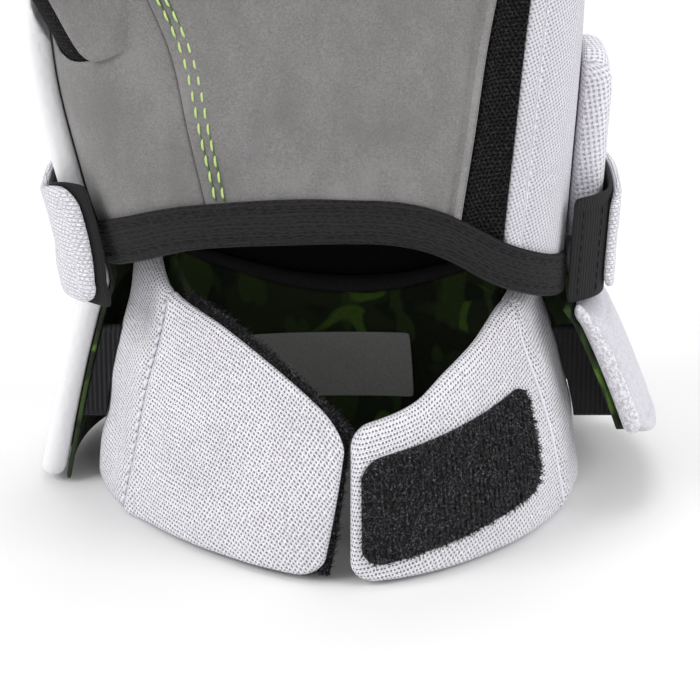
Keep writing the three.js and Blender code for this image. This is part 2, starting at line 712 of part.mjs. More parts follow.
const FINGER_PADS = [
  { name: "root", rows: [0.05, 0.36] },
  { name: "middle", rows: [0.4, 0.7] },
  { name: "tip", rows: [0.74, 1.6] },
];
const FINGER_PAD_TURN = 62; // half the degrees round a finger that its pads cover
const FINGER_PAD_SIDE = [0.08, 0.4]; // share of its thickness that it grows sideways, root to tip
const THUMB_PADS = [
  { name: "root", rows: [0.44, 0.62] },
  { name: "middle", rows: [0.65, 0.83] },
  { name: "tip", rows: [0.86, 1.6] },
];
const THUMB_PAD_TURN = 78;

function addStallPads() {
  arcs.forEach((arc, i) => {
    const cover = fingerFacets[i].fill(GAP);
    const [near, far] = FINGER_PAD_SIDE;
    const point = (turn, q, out) =>
      stall(arc, turn, q, out, out * lerp(near, far, Math.min(q, 1)));
    FINGER_PADS.forEach(({ name, rows }) => {
      const place = patch([-FINGER_PAD_TURN, FINGER_PAD_TURN], rows);
      const piece = pad(point, place, GAP, FINGER_PAD).subtract(cover).subtract(overSkin);
      add(`${FINGERS[i].name}_pad_${name}`, piece, leather);
    });
  });
  THUMB_PADS.forEach(({ name, rows }) => {
    const place = patch([-THUMB_PAD_TURN, THUMB_PAD_TURN], rows);
    const piece = pad(thumbPoint, place, GAP, FINGER_PAD).subtract(thumbHole);
    add(`thumb_pad_${name}`, piece.subtract(handFacets.fill(PAD_IN + PAD + GAP)), leather);
  });
}

const cuffTop = (turn) => read(CUFF_EDGE, "high", turn > 180 ? turn - 360 : turn) * CUFF_HEIGHT;
const floor = () => 0;

function addWristCuff() {
  const { piece } = cuffFacets;
  const along = ({ low, high, at }, shift) => (z) =>
    lerp(low, high, Math.min(z / (at * CUFF_HEIGHT), 1)) + shift;
  const round = (inset) => [along(RIDGE, inset), along(CREASE, -inset)];
  add("wrist_cuff", piece([-CUFF_PAD, 0], round(0.3), floor, cuffTop), knit);

  const cloth = -CUFF_PAD - GAP;
  const clothTop = (turn) => cuffTop(turn) - 1.5;
  add("cuff_lining", piece([cloth - LINING, cloth], round(1), () => 1, clothTop), printed);
  const face = cloth - LINING - GAP;
  const labelLow = () => LABEL_PLACE.low * CUFF_HEIGHT;
  const labelHigh = () => LABEL_PLACE.high * CUFF_HEIGHT;
  add("label", piece([face - LABEL, face], LABEL_PLACE.turns, labelLow, labelHigh), labelCloth);

  const left = [along(CREASE, 0), along(LEFT_TIP, 0)];
  add("flap_left", piece([-FLAP_LEFT, 0], left, floor, cuffTop), knit);
  const behind = -FLAP_LEFT - GAP;
  const loopTop = (turn) => cuffTop(turn) + 1.3;
  const loopEnds = [along(CREASE, 4), along(LEFT_TIP, 2.2)];
  const loop = piece([behind - LOOP, behind], loopEnds, () => 1, loopTop);
  add("flap_left_loop", loop, webbing);

  const right = [along(RIGHT_TIP, 0), along(RIDGE, 360)];
  add("flap_right", piece([-FLAP_RIGHT, 0], right, floor, cuffTop), knit);
  const { turns, low, high } = HOOK_PATCH;
  const place = (x, y) => {
    const share = (x + 1) / 2;
    const edges = [lerp(low[0], low[1], share), lerp(high[0], high[1], share)];
    const up = lerp(edges[0], edges[1], (y + 1) / 2);
    return [lerp(turns[0], turns[1], share), up * CUFF_HEIGHT];
  };
  const options = { edge: 1, xs: steps(5, -1, 1), ys: [-1, -0.6, 0.6, 1] };
  const hooks = pad(cuff, place, GAP, HOOK, options).subtract(cuffFacets.fill(GAP));
  add("hook_patch", hooks, webbing);
}

const FLARE_PLATES = [
  { name: "thumb_side", turns: [52, FLARE_EDGE.thumb] },
  { name: "back_thumb_side", turns: [0, 52] },
  { name: "back_little_side", turns: [-52, 0] },
  { name: "little_side", turns: [FLARE_EDGE.little, -52] },
];

function addFlare() {
  const foot = (turn) => read(FLARE_FOOT, "low", turn) * FLARE_TOP;
  const rim = (turn) => read(FLARE_RIM, "high", turn) * FLARE_TOP;
  const piece = (layer, turns) => flareFacets.piece(layer, turns, foot, rim);
  const clothTurns = [FLARE_EDGE.little + 1, FLARE_EDGE.thumb - 1];
  add("outer_cuff_lining", piece([0, FLARE_LINING], clothTurns), printed);
  FLARE_PLATES.forEach(({ name, turns }) => {
    const between = [turns[0] + 0.3, turns[1] - 0.3];
    add(`cuff_plate_${name}`, piece([PLATE_IN, PLATE_IN + CUFF_PLATE], between), leather);
  });
}

function addStraps() {
  const between = flareFacets.fill(-GAP).subtract(cuffFacets.fill(GAP));
  const height = STRAP_HIGH - STRAP_LOW;
  ["thumb_side", "little_side"].forEach((name, i) => {
    const strip = new THREE.BoxGeometry(HAND_WIDTH / 2, STRAP, height).toNonIndexed();
    strip.translate((i ? 1 : -1) * HAND_WIDTH * 0.6, STRAP_Y, STRAP_LOW + height / 2);
    const piece = solidOf([...strip.attributes.position.array]).intersect(between);
    add(`elastic_${name}`, piece, webbing);
  });
}

function addBand() {
  const edges = (inset) => [() => BAND_LOW + inset, () => BAND_HIGH - inset];
  add("band_lining", bandFacets.piece([0, TAPE], BAND_ENDS.lining, ...edges(0)), webbing);
  const knitLayer = [TAPE + GAP, TAPE + GAP + BAND];
  add("wrist_band", bandFacets.piece(knitLayer, BAND_ENDS.outer, ...edges(0.7)), knit);
}

addHand();
addStalls();
addBinding();
addHandPads();
addStallPads();
addWristCuff();
addFlare();
addStraps();
addBand();

const bounds = new THREE.Box3().setFromObject(glove);
const middle = bounds.getCenter(new THREE.Vector3());
glove.position.set(-middle.x, -middle.y, 0);

export default glove;
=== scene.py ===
"""The looks of a padded lacrosse glove for the left hand, built round its fixed frame.

The glove stands on its wrist cuff with the palm to the front (-Y) and the thumb on the left
(-X). Lengths here are in millimetres on the hand's own axis, and in metres in the scene.
"""

import math

import bmesh
import bpy
import numpy as np
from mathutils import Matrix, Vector


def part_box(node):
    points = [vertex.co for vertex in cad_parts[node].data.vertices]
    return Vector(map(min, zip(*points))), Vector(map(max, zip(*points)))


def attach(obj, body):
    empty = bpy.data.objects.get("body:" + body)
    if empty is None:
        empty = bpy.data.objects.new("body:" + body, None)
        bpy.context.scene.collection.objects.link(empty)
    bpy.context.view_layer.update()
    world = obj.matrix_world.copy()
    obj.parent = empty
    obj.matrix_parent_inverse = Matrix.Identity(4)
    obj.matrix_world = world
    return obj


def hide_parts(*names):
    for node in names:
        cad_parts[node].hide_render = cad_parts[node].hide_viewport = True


bl_info = {
    "name": "Padded lacrosse glove",
    "version": (1, 0, 0),
    "blender": (4, 5, 0),
    "location": "View3D > Sidebar > Glove",
    "description": "Builds the cloth, leather and padding of a padded glove round its frame",
    "category": "Add Mesh",
}

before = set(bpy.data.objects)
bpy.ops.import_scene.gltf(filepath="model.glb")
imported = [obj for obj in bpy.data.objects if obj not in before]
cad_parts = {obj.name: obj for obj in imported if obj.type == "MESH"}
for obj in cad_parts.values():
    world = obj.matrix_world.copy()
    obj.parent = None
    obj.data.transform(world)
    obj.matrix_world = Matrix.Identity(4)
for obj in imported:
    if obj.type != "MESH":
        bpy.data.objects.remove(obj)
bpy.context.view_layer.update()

# Thicknesses of the layers, the gap between them and the skin's rounded rim
GAP = 0.3
LINING = 1.5
STALL = 1.5
SKIN = 1.5
SKIN_RIM = 0.7
TAPE = 1.0
PAD = 6.5
FINGER_PAD = 6.0
KNUCKLE_PAD = 7.5
SIDE_PAD = 8.5
BAND = 2.2
CUFF_PLATE = 6.5
CUFF_PAD = 7.0
FLAP_LEFT = 3.6
FLAP_RIGHT = 5.6
LOOP = 1.6
HOOK = 1.0
LABEL = 0.5
STRAP = 1.5

# The hand
KNUCKLE_HEIGHT = 200.0
HAND_WIDTH = 120.0
HAND_DEPTH = 62.0
HEM_HEIGHT = 82.6
HEM_TAPE = 11.0
HEM_TAPE_TURNS = (102.86, 257.0)
BINDING_ROW_TURNS = (104, 256)
BACK_HEM = 40.0

# Fingers and thumb, with the thumb's root in shares of the hand's sizes
FINGER_TAPER = 0.92
FINGER_CURL = 24.0
FINGER_DEPTH = 24.0
TIP_ROUND = 12.0
THUMB_LENGTH = 126.0
THUMB_WIDTH = 32.0
THUMB_DEPTH = 29.0
THUMB_LEAN = (33.0, 12.0)
THUMB_FORWARD = 20.0
THUMB_ROLL = 52.0
THUMB_ROOT = (0.77, 0.16, 0.56)

# Wrist cuff, flared cuff and wrist band. Edges, turns and FLAP_LIFT_REACH are degrees round
CUFF_HEIGHT = 70.0
FLARE_THUMB = 12.5
FLARE_LITTLE = 22.0
FLARE_BACK = 19.0
FLARE_TOP = 64.0
FLARE_EDGES = (-108.0, 93.0)
PLATE_CLEAR = 3.0
BAND_LOW = 57.0
BAND_HIGH = 86.0
BAND_LEAN = 2.4
BAND_LEAN_TURNS = (50, 70)
BAND_RISE = (2, 6)
BAND_RISE_TURNS = (88, 114)
CUFF_THINNING = 26
FLAP_LIFT = (2.0, 1.2)
FLAP_LIFT_REACH = 62
STRAP_LOW = 19.0
STRAP_HIGH = 45.0
STRAP_Y = -1.4
STRAP_RIB = 0.16
STRAP_PITCH = 1.25
STRAP_TURNS = {"elastic_thumb_side": (80, 100), "elastic_little_side": (260, 280)}

# Threads: length of a stitch, gap to the next, radius, and lean across the row
HEM_THREAD = (1.9, 1.1, 0.26, 0.1)
PAD_THREAD = (2.3, 0.9, 0.26)
BINDING_THREAD = (2.6, 0.9, 0.22)
CREASE_THREAD = (2.3, 0.8, 0.55, 0.2)
TAB_THREAD = (2.0, 1.0, 0.2)
LIME_GAP, LIME_RADIUS, LIME_LEAN = 1.25, 0.3, 0.16
LIME_TOP = 168
# Radii of the dark cord under the lime stitches, which paints the shade between them, of the
# suede's rolled edge and of the ridge's cord
LIME_CORD, EDGE_ROLL, RIDGE_CORD = 0.24, 1.15, 0.5
# Fibres of the fastener: length, number, seed, and how far they point up
LOOP_FIBRES = (2.0, 5200, 41, 0.75)
HOOK_FIBRES = (1.3, 7600, 43)

# Distances of seams and grooves from the rim beside them
PAD_GROOVE = 3.3
PLATE_GROOVE = 5.2
SIDE_HEM = 4.9
BINDING_ROWS = (1.6, HEM_TAPE - 2.2)
TAB_ROWS = (2.2, 8.0)

# The studio: lengths in metres, angles in degrees. Each lamp has its place, watts and size
WORLD_LIGHT = 0.66
LAMPS = {
    "key": ((-1.35, -0.6, 1.05), 17, 0.9),
    "fill": ((1.35, -0.55, 0.95), 14, 0.9),
    "top": ((0.05, 0.3, 1.6), 8, 0.7),
}
AIM = (0, -0.03, 0.051)
LENS = 226
SENSOR = 36
TILT = 25
DISTANCE = 1.1
FLOOR_REACH = 6.0
WHITE = (1.0, 1.0, 1.0)

SKIN_IN = GAP
SKIN_OUT = SKIN_IN + SKIN
PAD_IN = SKIN_OUT + GAP
FLARE_IN = PAD_IN + GAP
FLARE_LINING = 1.2
PLATE_IN = FLARE_LINING + GAP
BAND_IN = FLARE_IN + PLATE_IN + CUFF_PLATE + 3 * GAP


def table(columns, *rows):
    """Rows of numbers under named columns."""
    return dict(zip(columns.split(), np.array(rows, float).T))


# The hand's sections, in shares of KNUCKLE_HEIGHT and of half its width and depth
HAND_SECTIONS = table(
    "at left right front back boxy",
    (0.18, 0.95, 0.86, 1.0, 0.97, 2.5),
    (0.3, 0.967, 0.872, 1.03, 0.97, 2.6),
    (0.45, 1.1, 0.9, 1.03, 0.97, 2.7),
    (0.6, 1.2, 0.93, 1.0, 0.92, 2.8),
    (0.7, 1.19, 0.94, 0.96, 0.87, 2.9),
    (0.79, 1.0, 0.92, 0.88, 0.79, 3.2),
    (0.88, 0.84, 0.86, 0.78, 0.66, 3.8),
    (1.0, 0.777, 0.777, 0.66, 0.47, 4.6),
)
# The wrist cuff's outer face, in shares of CUFF_HEIGHT and of half the hand's width
CUFF_SECTIONS = table(
    "at left right front back",
    (0, 1.1, 1.0, 1.04, 0.57),
    (0.31, 1.045, 0.955, 0.98, 0.52),
    (0.5, 1.01, 0.905, 0.93, 0.485),
    (0.75, 0.945, 0.82, 0.85, 0.47),
    (1.0, 0.9, 0.77, 0.77, 0.47),
)
CUFF_PROW_LEFT = 1.5
CUFF_PROW_RIGHT = 1.7
CUFF_BACK = 2.3
# Height of the wrist cuff's upper edge, as a share of CUFF_HEIGHT, by degrees from the back
CUFF_EDGE = table(
    "at high",
    (-180, 0.57),
    (-168, 0.59),
    (-156, 0.63),
    (-146, 0.7),
    (-133, 0.77),
    (-121, 0.84),
    (-105, 0.88),
    (-85, 0.9),
    (-45, 0.78),
    (0, 0.66),
    (45, 0.81),
    (85, 0.97),
    (105, 0.97),
    (119, 0.885),
    (138, 0.83),
    (157, 0.715),
    (180, 0.52),
)
# Slanting seams and ends of the flaps: degrees round at the floor and higher up, and the share
# of CUFF_HEIGHT that is meant by higher up
CREASE = (113, 119, 0.886)
RIDGE = (-110, -117, 0.714)
LEFT_TIP = (168.5, 177.8, 0.571)
RIGHT_TIP = (180.3, 180.3, 0.571)
# The label and the fastener's patch: degrees round, and shares of CUFF_HEIGHT. The patch's lower
# and upper edges slant from the first share to the second
LABEL_TURNS = (-17, 46)
LABEL_HEIGHTS = (0.186, 0.471)
HOOK_TURNS = (184.4, 238.2)
HOOK_LOW = (0.084, 0.178)
HOOK_HIGH = (0.473, 0.58)
HOOK_CORNER = 5.5
# How far the flared cuff stands out, and its lower and upper edges in shares of FLARE_TOP
FLARE_CURVE = table("at spread", (0, 1.04), (0.44, 0.6), (0.77, 0.2), (0.88, 0), (1, 0))
FLARE_FOOT = table("at low", (-108, 0.33), (-85, 0.235), (0, 0.12), (93, 0.02))
FLARE_RIM = table("at high", (-108, 0.85), (-90, 0.87), (-77, 1), (93, 1))
# How far the wrist band's inner face lies outside the hand
BAND_LIFT = table(
    "at out",
    (-108, PAD_IN + 2.5),
    (-97, BAND_IN - 0.3),
    (-88, BAND_IN),
    (50, BAND_IN),
    (85, BAND_IN + 0.8),
    (99, BAND_IN + 0.8),
    (110, BAND_IN - 1.2),
    (122, BAND_IN - 5.3),
)
# Degrees round at the ends of the band's lining and of its knit
BAND_LINING_ENDS = (-108.5, 121)
BAND_ENDS = (-98, 116)
# Height of the hand's lower edge, as a share of HEM_HEIGHT
HEM_EDGE = table(
    "at high",
    (0, BACK_HEM / HEM_HEIGHT),
    (40, 0.55),
    (80, 0.74),
    (99, 0.8),
    (127, 0.886),
    (152, 0.968),
    (178, 1.0),
    (187, 0.993),
    (197, 0.954),
    (214, 0.85),
    (226, 0.798),
    (245, 0.741),
    (265, 0.7),
    (320, 0.55),
    (360, BACK_HEM / HEM_HEIGHT),
)
# Seams of the front, across the palm in shares of half the hand's width
SEAMS = table(
    "at thumb suede gusset",
    (0.27, -0.5, 0.41, 0.6),
    (0.4, -0.545, 0.43, 0.62),
    (0.55, -0.645, 0.495, 0.663),
    (0.66, -0.72, 0.541, 0.695),
    (0.82, -0.94, 0.63, 0.75),
    (1.0, -1.0, 0.68, 0.77),
)
# The furthest share across that still counts as the front or the back
SIDE_MOST = 0.985
# Seams of the back, in degrees round
THUMB_SEAM_BACK = 99
SIDE_SEAM_BACK = -72
# The suede on the stalls: degrees round, and rows from 0 at the root to 2 at the tip
THUMB_SUEDE = ((90, 270), (0.2, 1.5))
FINGER_SUEDE = ((120, 240), (-0.03, 1.5))
# Each finger's length, as a share of KNUCKLE_HEIGHT, and the degrees that it fans out
FINGERS = {"index": (0.45, -4), "middle": (0.52, -1), "ring": (0.48, 2.5), "little": (0.37, 6)}


def lerp(a, b, t):
    return a + (b - a) * t


def power(x, p):
    return np.sign(x) * np.abs(x) ** p


def ease(share):
    """A share from 0 to 1, slow at both ends."""
    return share * share * (3 - 2 * share)


def fade(inset, reach):
    """Grows from 0 at the rim to 1 at a distance from it."""
    return np.clip(inset / reach, 0, 1)


def bulge(x, at, width):
    """A rounded ridge of height 1 at a place."""
    return np.exp(-(((x - at) / width) ** 2))


def read(rows, column, at):
    """A column of a table, on a smooth curve through its rows."""
    xs, ys = rows["at"], rows[column]
    t = np.clip(at, xs[0], xs[-1])
    i = np.clip(np.searchsorted(xs, t) - 1, 0, len(xs) - 2)
    far_x, far_y = np.append(xs[1:], xs[-1]), np.append(ys[1:], ys[-1])
    near_x, near_y = np.append(xs[0], xs[:-1]), np.append(ys[0], ys[:-1])
    slope = (far_y - near_y) / (far_x - near_x)
    width, rise = xs[i + 1] - xs[i], ys[i + 1] - ys[i]
    s = (t - xs[i]) / width
    a = slope[i] * width - rise
    b = rise - slope[i + 1] * width
    return ys[i] + s * rise + s * (1 - s) * (a * (1 - s) + b * s)


def oval(left, right, front, back, boxy, prow, turn, z, out):
    """A point of an oval section, out millimetres outside it."""
    s, c = np.sin(np.radians(turn)), np.cos(np.radians(turn))
    p = 2 / np.where(c < 0, prow, boxy)
    x = -power(s, p) * (np.where(s > 0, left, right) + out)
    y = power(c, p) * (np.where(c > 0, back, front) + out)
    return np.stack(np.broadcast_arrays(x, y, z), -1)


def hand_section(z):
    at = z / KNUCKLE_HEIGHT
    wide = [read(HAND_SECTIONS, side, at) * HAND_WIDTH / 2 for side in ("left", "right")]
    deep = [read(HAND_SECTIONS, side, at) * HAND_DEPTH / 2 for side in ("front", "back")]
    return (*wide, *deep, read(HAND_SECTIONS, "boxy", at))


def hand(turn, z, out):
    left, right, front, back, boxy = hand_section(z)
    return oval(left, right, front, back, boxy, boxy, turn, z, out)


def cuff(turn, z, out):
    """The wrist cuff's outer face. Its back stays inside the hand's lining."""
    half = [
        read(CUFF_SECTIONS, side, z / CUFF_HEIGHT) * HAND_WIDTH / 2
        for side in ("left", "right", "front", "back")
    ]
    tucked = hand_section(np.maximum(z, BACK_HEM))[3] - LINING - 4 * GAP
    back = np.where(z < BACK_HEM, np.maximum(tucked, half[3]), tucked)
    on_right = (np.mod(turn, 360) > 180) | (np.asarray(turn) < 0)
    prow = np.where(on_right, CUFF_PROW_RIGHT, CUFF_PROW_LEFT)
    return oval(*half[:3], back, CUFF_BACK, prow, turn, z, out)


def flare(turn, z, out):
    """The inner face of the flared cuff, which hugs the hand at its upper edge."""
    left, right, front, back, boxy = hand_section(np.clip(z, BAND_LOW, FLARE_TOP))
    spread = read(FLARE_CURVE, "spread", z / FLARE_TOP)
    return oval(
        left + FLARE_IN + FLARE_THUMB * spread,
        right + FLARE_IN + FLARE_LITTLE * spread,
        front + FLARE_IN,
        back + FLARE_IN + FLARE_BACK * spread,
        boxy,
        boxy,
        turn,
        z,
        out,
    )


def band(turn, z, out):
    """The wrist band's inner face, whose top leans in against the thumb side's plate."""
    start, end = BAND_LEAN_TURNS
    near = np.clip((np.asarray(turn) - start) / (end - start), 0, 1) * BAND_LEAN
    up = np.clip((z - FLARE_TOP - 2) / (BAND_HIGH - FLARE_TOP - 2), 0, 1)
    return hand(turn, z, read(BAND_LIFT, "out", turn) - near * up * (2 - up) + out)


def turn_at(x, z, front):
    """Degrees round to the place x on the hand's front or back."""
    left, right, _, _, boxy = hand_section(z)
    share = np.minimum(np.abs(x) / np.where(x < 0, left, right), SIDE_MOST)
    side = np.degrees(np.arcsin(share ** (boxy / 2))) * np.where(x < 0, 1, -1)
    return 180 - side if front else side


def palm_turn(seam):
    """A seam of the palm, as degrees round by height."""

    def turn(z):
        return turn_at(read(SEAMS, seam, z / KNUCKLE_HEIGHT) * HAND_WIDTH / 2, z, True)

    return turn


def hem(turn):
    """Height of the hand's lower edge."""
    return read(HEM_EDGE, "high", np.mod(turn, 360)) * HEM_HEIGHT


def cuff_top(turn):
    """Height of the wrist cuff's upper edge."""
    turn = np.asarray(turn, float)
    return read(CUFF_EDGE, "high", np.where(turn > 180, turn - 360, turn)) * CUFF_HEIGHT


class Stall:
    """A tube along an arc with a rounded end. q runs from 0 at its root to 2 at its tip."""

    def __init__(self, length, wide, deep, boxy, places):
        self.length, self.wide, self.deep, self.boxy = length, wide, deep, boxy
        self.places = places
        self.straight = length - TIP_ROUND

    def point(self, turn, q, out, side=None):
        turn, q, out = np.broadcast_arrays(turn, q, out)
        side = out if side is None else side
        dome = np.radians(90 * np.clip(q - 1, 0, 1))
        s = np.where(q < 1, q * self.straight, self.straight + (TIP_ROUND + out) * np.sin(dome))
        share = np.clip(s / self.straight, 0, 1)
        p = 2 / lerp(*self.boxy, share)
        centre, across, back = self.places(s)
        turn = np.radians(turn)
        w = (lerp(*self.wide, share) + side) * np.cos(dome) * power(np.sin(turn), p)
        n = (lerp(*self.deep, share**0.5) + out) * np.cos(dome) * power(np.cos(turn), p)
        return centre - across * w[..., None] + back * n[..., None]


def vectors(x, y, z):
    return np.stack(np.broadcast_arrays(x, y, z), -1)


KNUCKLES = hand_section(KNUCKLE_HEIGHT)
FINGER_PITCH = (KNUCKLES[0] + KNUCKLES[1]) / len(FINGERS)
FINGER_HALF = FINGER_PITCH / 2 - GAP


def finger_stall(i, length, fan):
    reach = length * KNUCKLE_HEIGHT
    x = -KNUCKLES[0] + FINGER_PITCH * (i + 0.5)
    root_y = (KNUCKLES[3] - KNUCKLES[2]) / 2
    bend = math.radians(FINGER_CURL) / reach

    def places(s):
        curl = bend * s
        up = np.sin(curl) / bend
        lean = up * math.tan(math.radians(fan))
        centre = vectors(x + lean, root_y - (1 - np.cos(curl)) / bend, KNUCKLE_HEIGHT + up)
        return centre, np.array([1.0, 0, 0]), vectors(0 * s, np.cos(curl), np.sin(curl))

    wide = (FINGER_HALF, FINGER_HALF * FINGER_TAPER)
    deep = ((KNUCKLES[2] + KNUCKLES[3]) / 2, FINGER_DEPTH / 2)
    return Stall(reach, wide, deep, (4, 2.6), places)


def thumb_stall():
    forward, roll = math.radians(THUMB_FORWARD), math.radians(THUMB_ROLL)
    outwards = np.array([-math.cos(forward), -math.sin(forward), 0])
    behind = np.array([-math.sin(forward), math.cos(forward), 0])
    up = np.array([0, 0, 1.0])
    start, end = (math.radians(lean) for lean in THUMB_LEAN)
    bend = (end - start) / THUMB_LENGTH
    side, front, high = THUMB_ROOT
    root = np.array([-side * HAND_WIDTH / 2, -front * HAND_DEPTH / 2, high * KNUCKLE_HEIGHT])

    def places(s):
        lean = (start + bend * s)[..., None]
        out = (math.cos(start) - np.cos(lean)) / bend
        rise = (np.sin(lean) - math.sin(start)) / bend
        along = outwards * np.sin(lean) + up * np.cos(lean)
        away = outwards * np.cos(lean) - up * np.sin(lean)
        back = away * math.cos(roll) + behind * math.sin(roll)
        return root + outwards * out + up * rise, np.cross(back, along), back

    wide = (THUMB_WIDTH / 2, THUMB_WIDTH * FINGER_TAPER / 2)
    deep = (THUMB_DEPTH / 2, THUMB_DEPTH * FINGER_TAPER / 2)
    return Stall(THUMB_LENGTH, wide, deep, (2.5, 2.3), places)


STALLS = {name: finger_stall(i, *sizes) for i, (name, sizes) in enumerate(FINGERS.items())}
STALLS["thumb"] = thumb_stall()


def hand_axis():
    """Where the hand's own axis stands in the frame, found from the lining's far sides."""
    _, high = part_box("hand_lining")
    levels = KNUCKLE_HEIGHT * np.array([0.3, 0.45, 0.57, 0.66, 0.74, 0.82])
    _, right, _, back, _ = hand_section(levels)
    return np.array([high.x * 1000 - right.max(), high.y * 1000 - back.max(), 0])


AXIS = hand_axis()


class Girth:
    """Distance round one section of a surface, by degrees round."""

    def __init__(self, surface, z):
        self.turns = np.arange(-220, 421, 0.25)
        places = surface(self.turns, np.full_like(self.turns, z), 0.0)
        along = np.linalg.norm(np.diff(places, axis=0), axis=1)
        self.lengths = np.concatenate([[0], np.cumsum(along)])
        self.lengths -= np.interp(0, self.turns, self.lengths)

    def length(self, turn):
        return np.interp(turn, self.turns, self.lengths)

    def turn(self, length):
        return np.interp(length, self.lengths, self.turns)


HAND_GIRTH = Girth(hand, 110)
CUFF_GIRTH = Girth(cuff, 30)
FLARE_GIRTH = Girth(flare, 30)
BAND_GIRTH = Girth(band, 72)


def follow(edge):
    """An edge as a function, also where it is one number."""
    return edge if callable(edge) else lambda _: edge


def raised(edge, amount):
    """An edge moved up by an amount."""
    return lambda turn: edge(turn) + amount


def slant(edge, shift=0.0):
    """A seam that leans from its place at the floor to its place higher up."""
    low, high, at = edge
    return lambda z: lerp(low, high, np.minimum(z / (at * CUFF_HEIGHT), 1)) + shift


def patch(girth, start, end, low, high):
    """A place on a surface by two shares, and the patch's width and height."""
    start, end, low, high = (follow(edge) for edge in (start, end, low, high))

    def place(a, b):
        z = lerp(low(0.0), high(0.0), b)
        for _ in range(4):
            turn = girth.turn(lerp(girth.length(start(z)), girth.length(end(z)), a))
            z = lerp(low(turn), high(turn), b)
        return turn, z

    sample_turn, sample_z = place(np.array([0, 1, 0.5, 0.5]), np.array([0.5, 0.5, 0, 1]))
    wide = np.diff(girth.length(sample_turn[:2]))[0]
    return place, (wide, sample_z[3] - sample_z[2])


def back_patch(across, up):
    """A place on the hand's back, by shares of its width and of KNUCKLE_HEIGHT."""

    def place(a, b):
        z = lerp(up[0], up[1], b) * KNUCKLE_HEIGHT
        share = lerp(across[1], across[0], a)
        left, right, _, _, _ = hand_section(z)
        return turn_at(share * np.where(share < 0, left, right), z, False), z

    half = hand_section(sum(up) / 2 * KNUCKLE_HEIGHT)[0]
    return place, ((across[1] - across[0]) * half * 1.05, (up[1] - up[0]) * KNUCKLE_HEIGHT)


def stall_patch(stall, turns, rows):
    round_it = stall.wide[0] * 2.9
    reach = np.clip(rows, 0, 1) * stall.straight + np.clip(np.array(rows) - 1, 0, 1) * TIP_ROUND

    def place(a, b):
        return lerp(turns[0], turns[1], a), lerp(rows[0], rows[1], b)

    return place, (math.radians(turns[1] - turns[0]) * round_it / 2.4, reach[1] - reach[0])


def waves(points, size, seed, amount=1.0):
    """A smooth irregular field over points, for the lie of soft cloth."""
    rng = np.random.default_rng(seed)
    total = np.zeros(points.shape[:-1])
    for _ in range(6):
        direction = rng.normal(size=3)
        direction /= np.linalg.norm(direction)
        total += np.sin(points @ direction * (2 * math.pi / size) + rng.uniform(0, 6.28))
        size *= 0.83
    return total * amount / 6


class Shell:
    """Points, faces and weave coordinates of one closed shell, in millimetres."""

    def __init__(self, points, faces, weave):
        self.points = np.asarray(points, float)
        self.faces = faces
        self.weave = np.asarray(weave, float)


def rim_rows(length, rim, step):
    """Places across a strip, closer together where its rim is rounded."""
    rim = min(rim, length * 0.45)
    curve = rim * (1 - np.cos(np.linspace(0, math.pi / 2, 5)[:-1]))
    count = max(3, int((length - 2 * rim) / step) + 2)
    return np.concatenate([curve, np.linspace(rim, length - rim, count), length - curve[::-1]])


def round_corners(x, y, inset, size, corner):
    """Moves a rectangle's corners onto arcs, on every ring of the grid inside it."""
    hx, hy = size[0] / 2 - inset, size[1] / 2 - inset
    if isinstance(corner, tuple):
        corner = np.where(x < 0, *corner)
    arc = np.clip(corner - inset * 0.6, 0, np.minimum(hx, hy) * 0.98)
    cx, cy = np.clip(x, arc - hx, hx - arc), np.clip(y, arc - hy, hy - arc)
    ex, ey = x - cx, y - cy
    both = (np.abs(ex) > 1e-9) & (np.abs(ey) > 1e-9)
    shrink = np.where(both, arc / np.maximum(np.hypot(ex, ey), 1e-9), 1)
    return cx + ex * shrink, cy + ey * shrink


def layer(surface, area, inner, outer, rim, corner=0.0, step=1.5, **look):
    """A layer over an area of a surface, with rounded rims.

    The area is a patch: its places by two shares, and its width and height. crown is the share of
    its thickness that a pad keeps at its rim, taper(x, y) thins it, relief(turn, z, x, y, inset)
    raises its outer face, and weave(turn, z) gives the cloth's own coordinates."""
    place, (wide, tall) = area
    rim = min(rim, wide * 0.45, tall * 0.45)
    xs = rim_rows(wide, rim, step) - wide / 2
    ys = rim_rows(tall, rim, step) - tall / 2
    x, y = np.meshgrid(xs, ys, indexing="ij")
    inset = np.minimum(wide / 2 - np.abs(x), tall / 2 - np.abs(y))
    rx, ry = round_corners(x, y, inset, (wide, tall), corner)
    turn, z = place(rx / wide + 0.5, ry / tall + 0.5)
    roundness = np.sqrt(1 - (1 - fade(inset, rim)) ** 2)
    if "taper" in look:
        inner = outer - (outer - inner) * look["taper"](rx, ry)
    thick = outer - inner
    if "crown" in look:
        ring = np.maximum(np.abs(x) / (wide / 2), np.abs(y) / (tall / 2))
        edge = thick * look["crown"]
        rise = edge * (0.45 + 0.55 * roundness) + (thick - edge) * np.sqrt(1 - ring**5)
        top, under = inner + rise, inner + edge * 0.45 * (1 - roundness)
    else:
        middle = (inner + outer) / 2
        top, under = middle + thick / 2 * roundness, middle - thick / 2 * roundness
    if "relief" in look:
        top = top + look["relief"](turn, z, rx, ry, inset) * roundness
    face = surface(turn, z, top)
    weave = look["weave"](turn, z) if "weave" in look else spread_out(face)
    if "weave" in look:
        bend = np.arccos(1 - fade(inset, rim))
        more = rim * (math.pi / 2 - bend) - np.maximum(rim - inset, 0)
        upright = wide / 2 - np.abs(x) > tall / 2 - np.abs(y)
        way = math.copysign(1, weave[0][-1, 0] - weave[0][0, 0])
        sideways = np.where(upright, 0, more * np.sign(x) * way)
        weave = weave[0] + sideways, weave[1] + np.where(upright, more * np.sign(y), 0)
    shell = closed(face, surface(turn, z, under), weave)
    shell.face, shell.lift, shell.inset = face, surface(turn, z, top + 1) - face, inset
    return shell


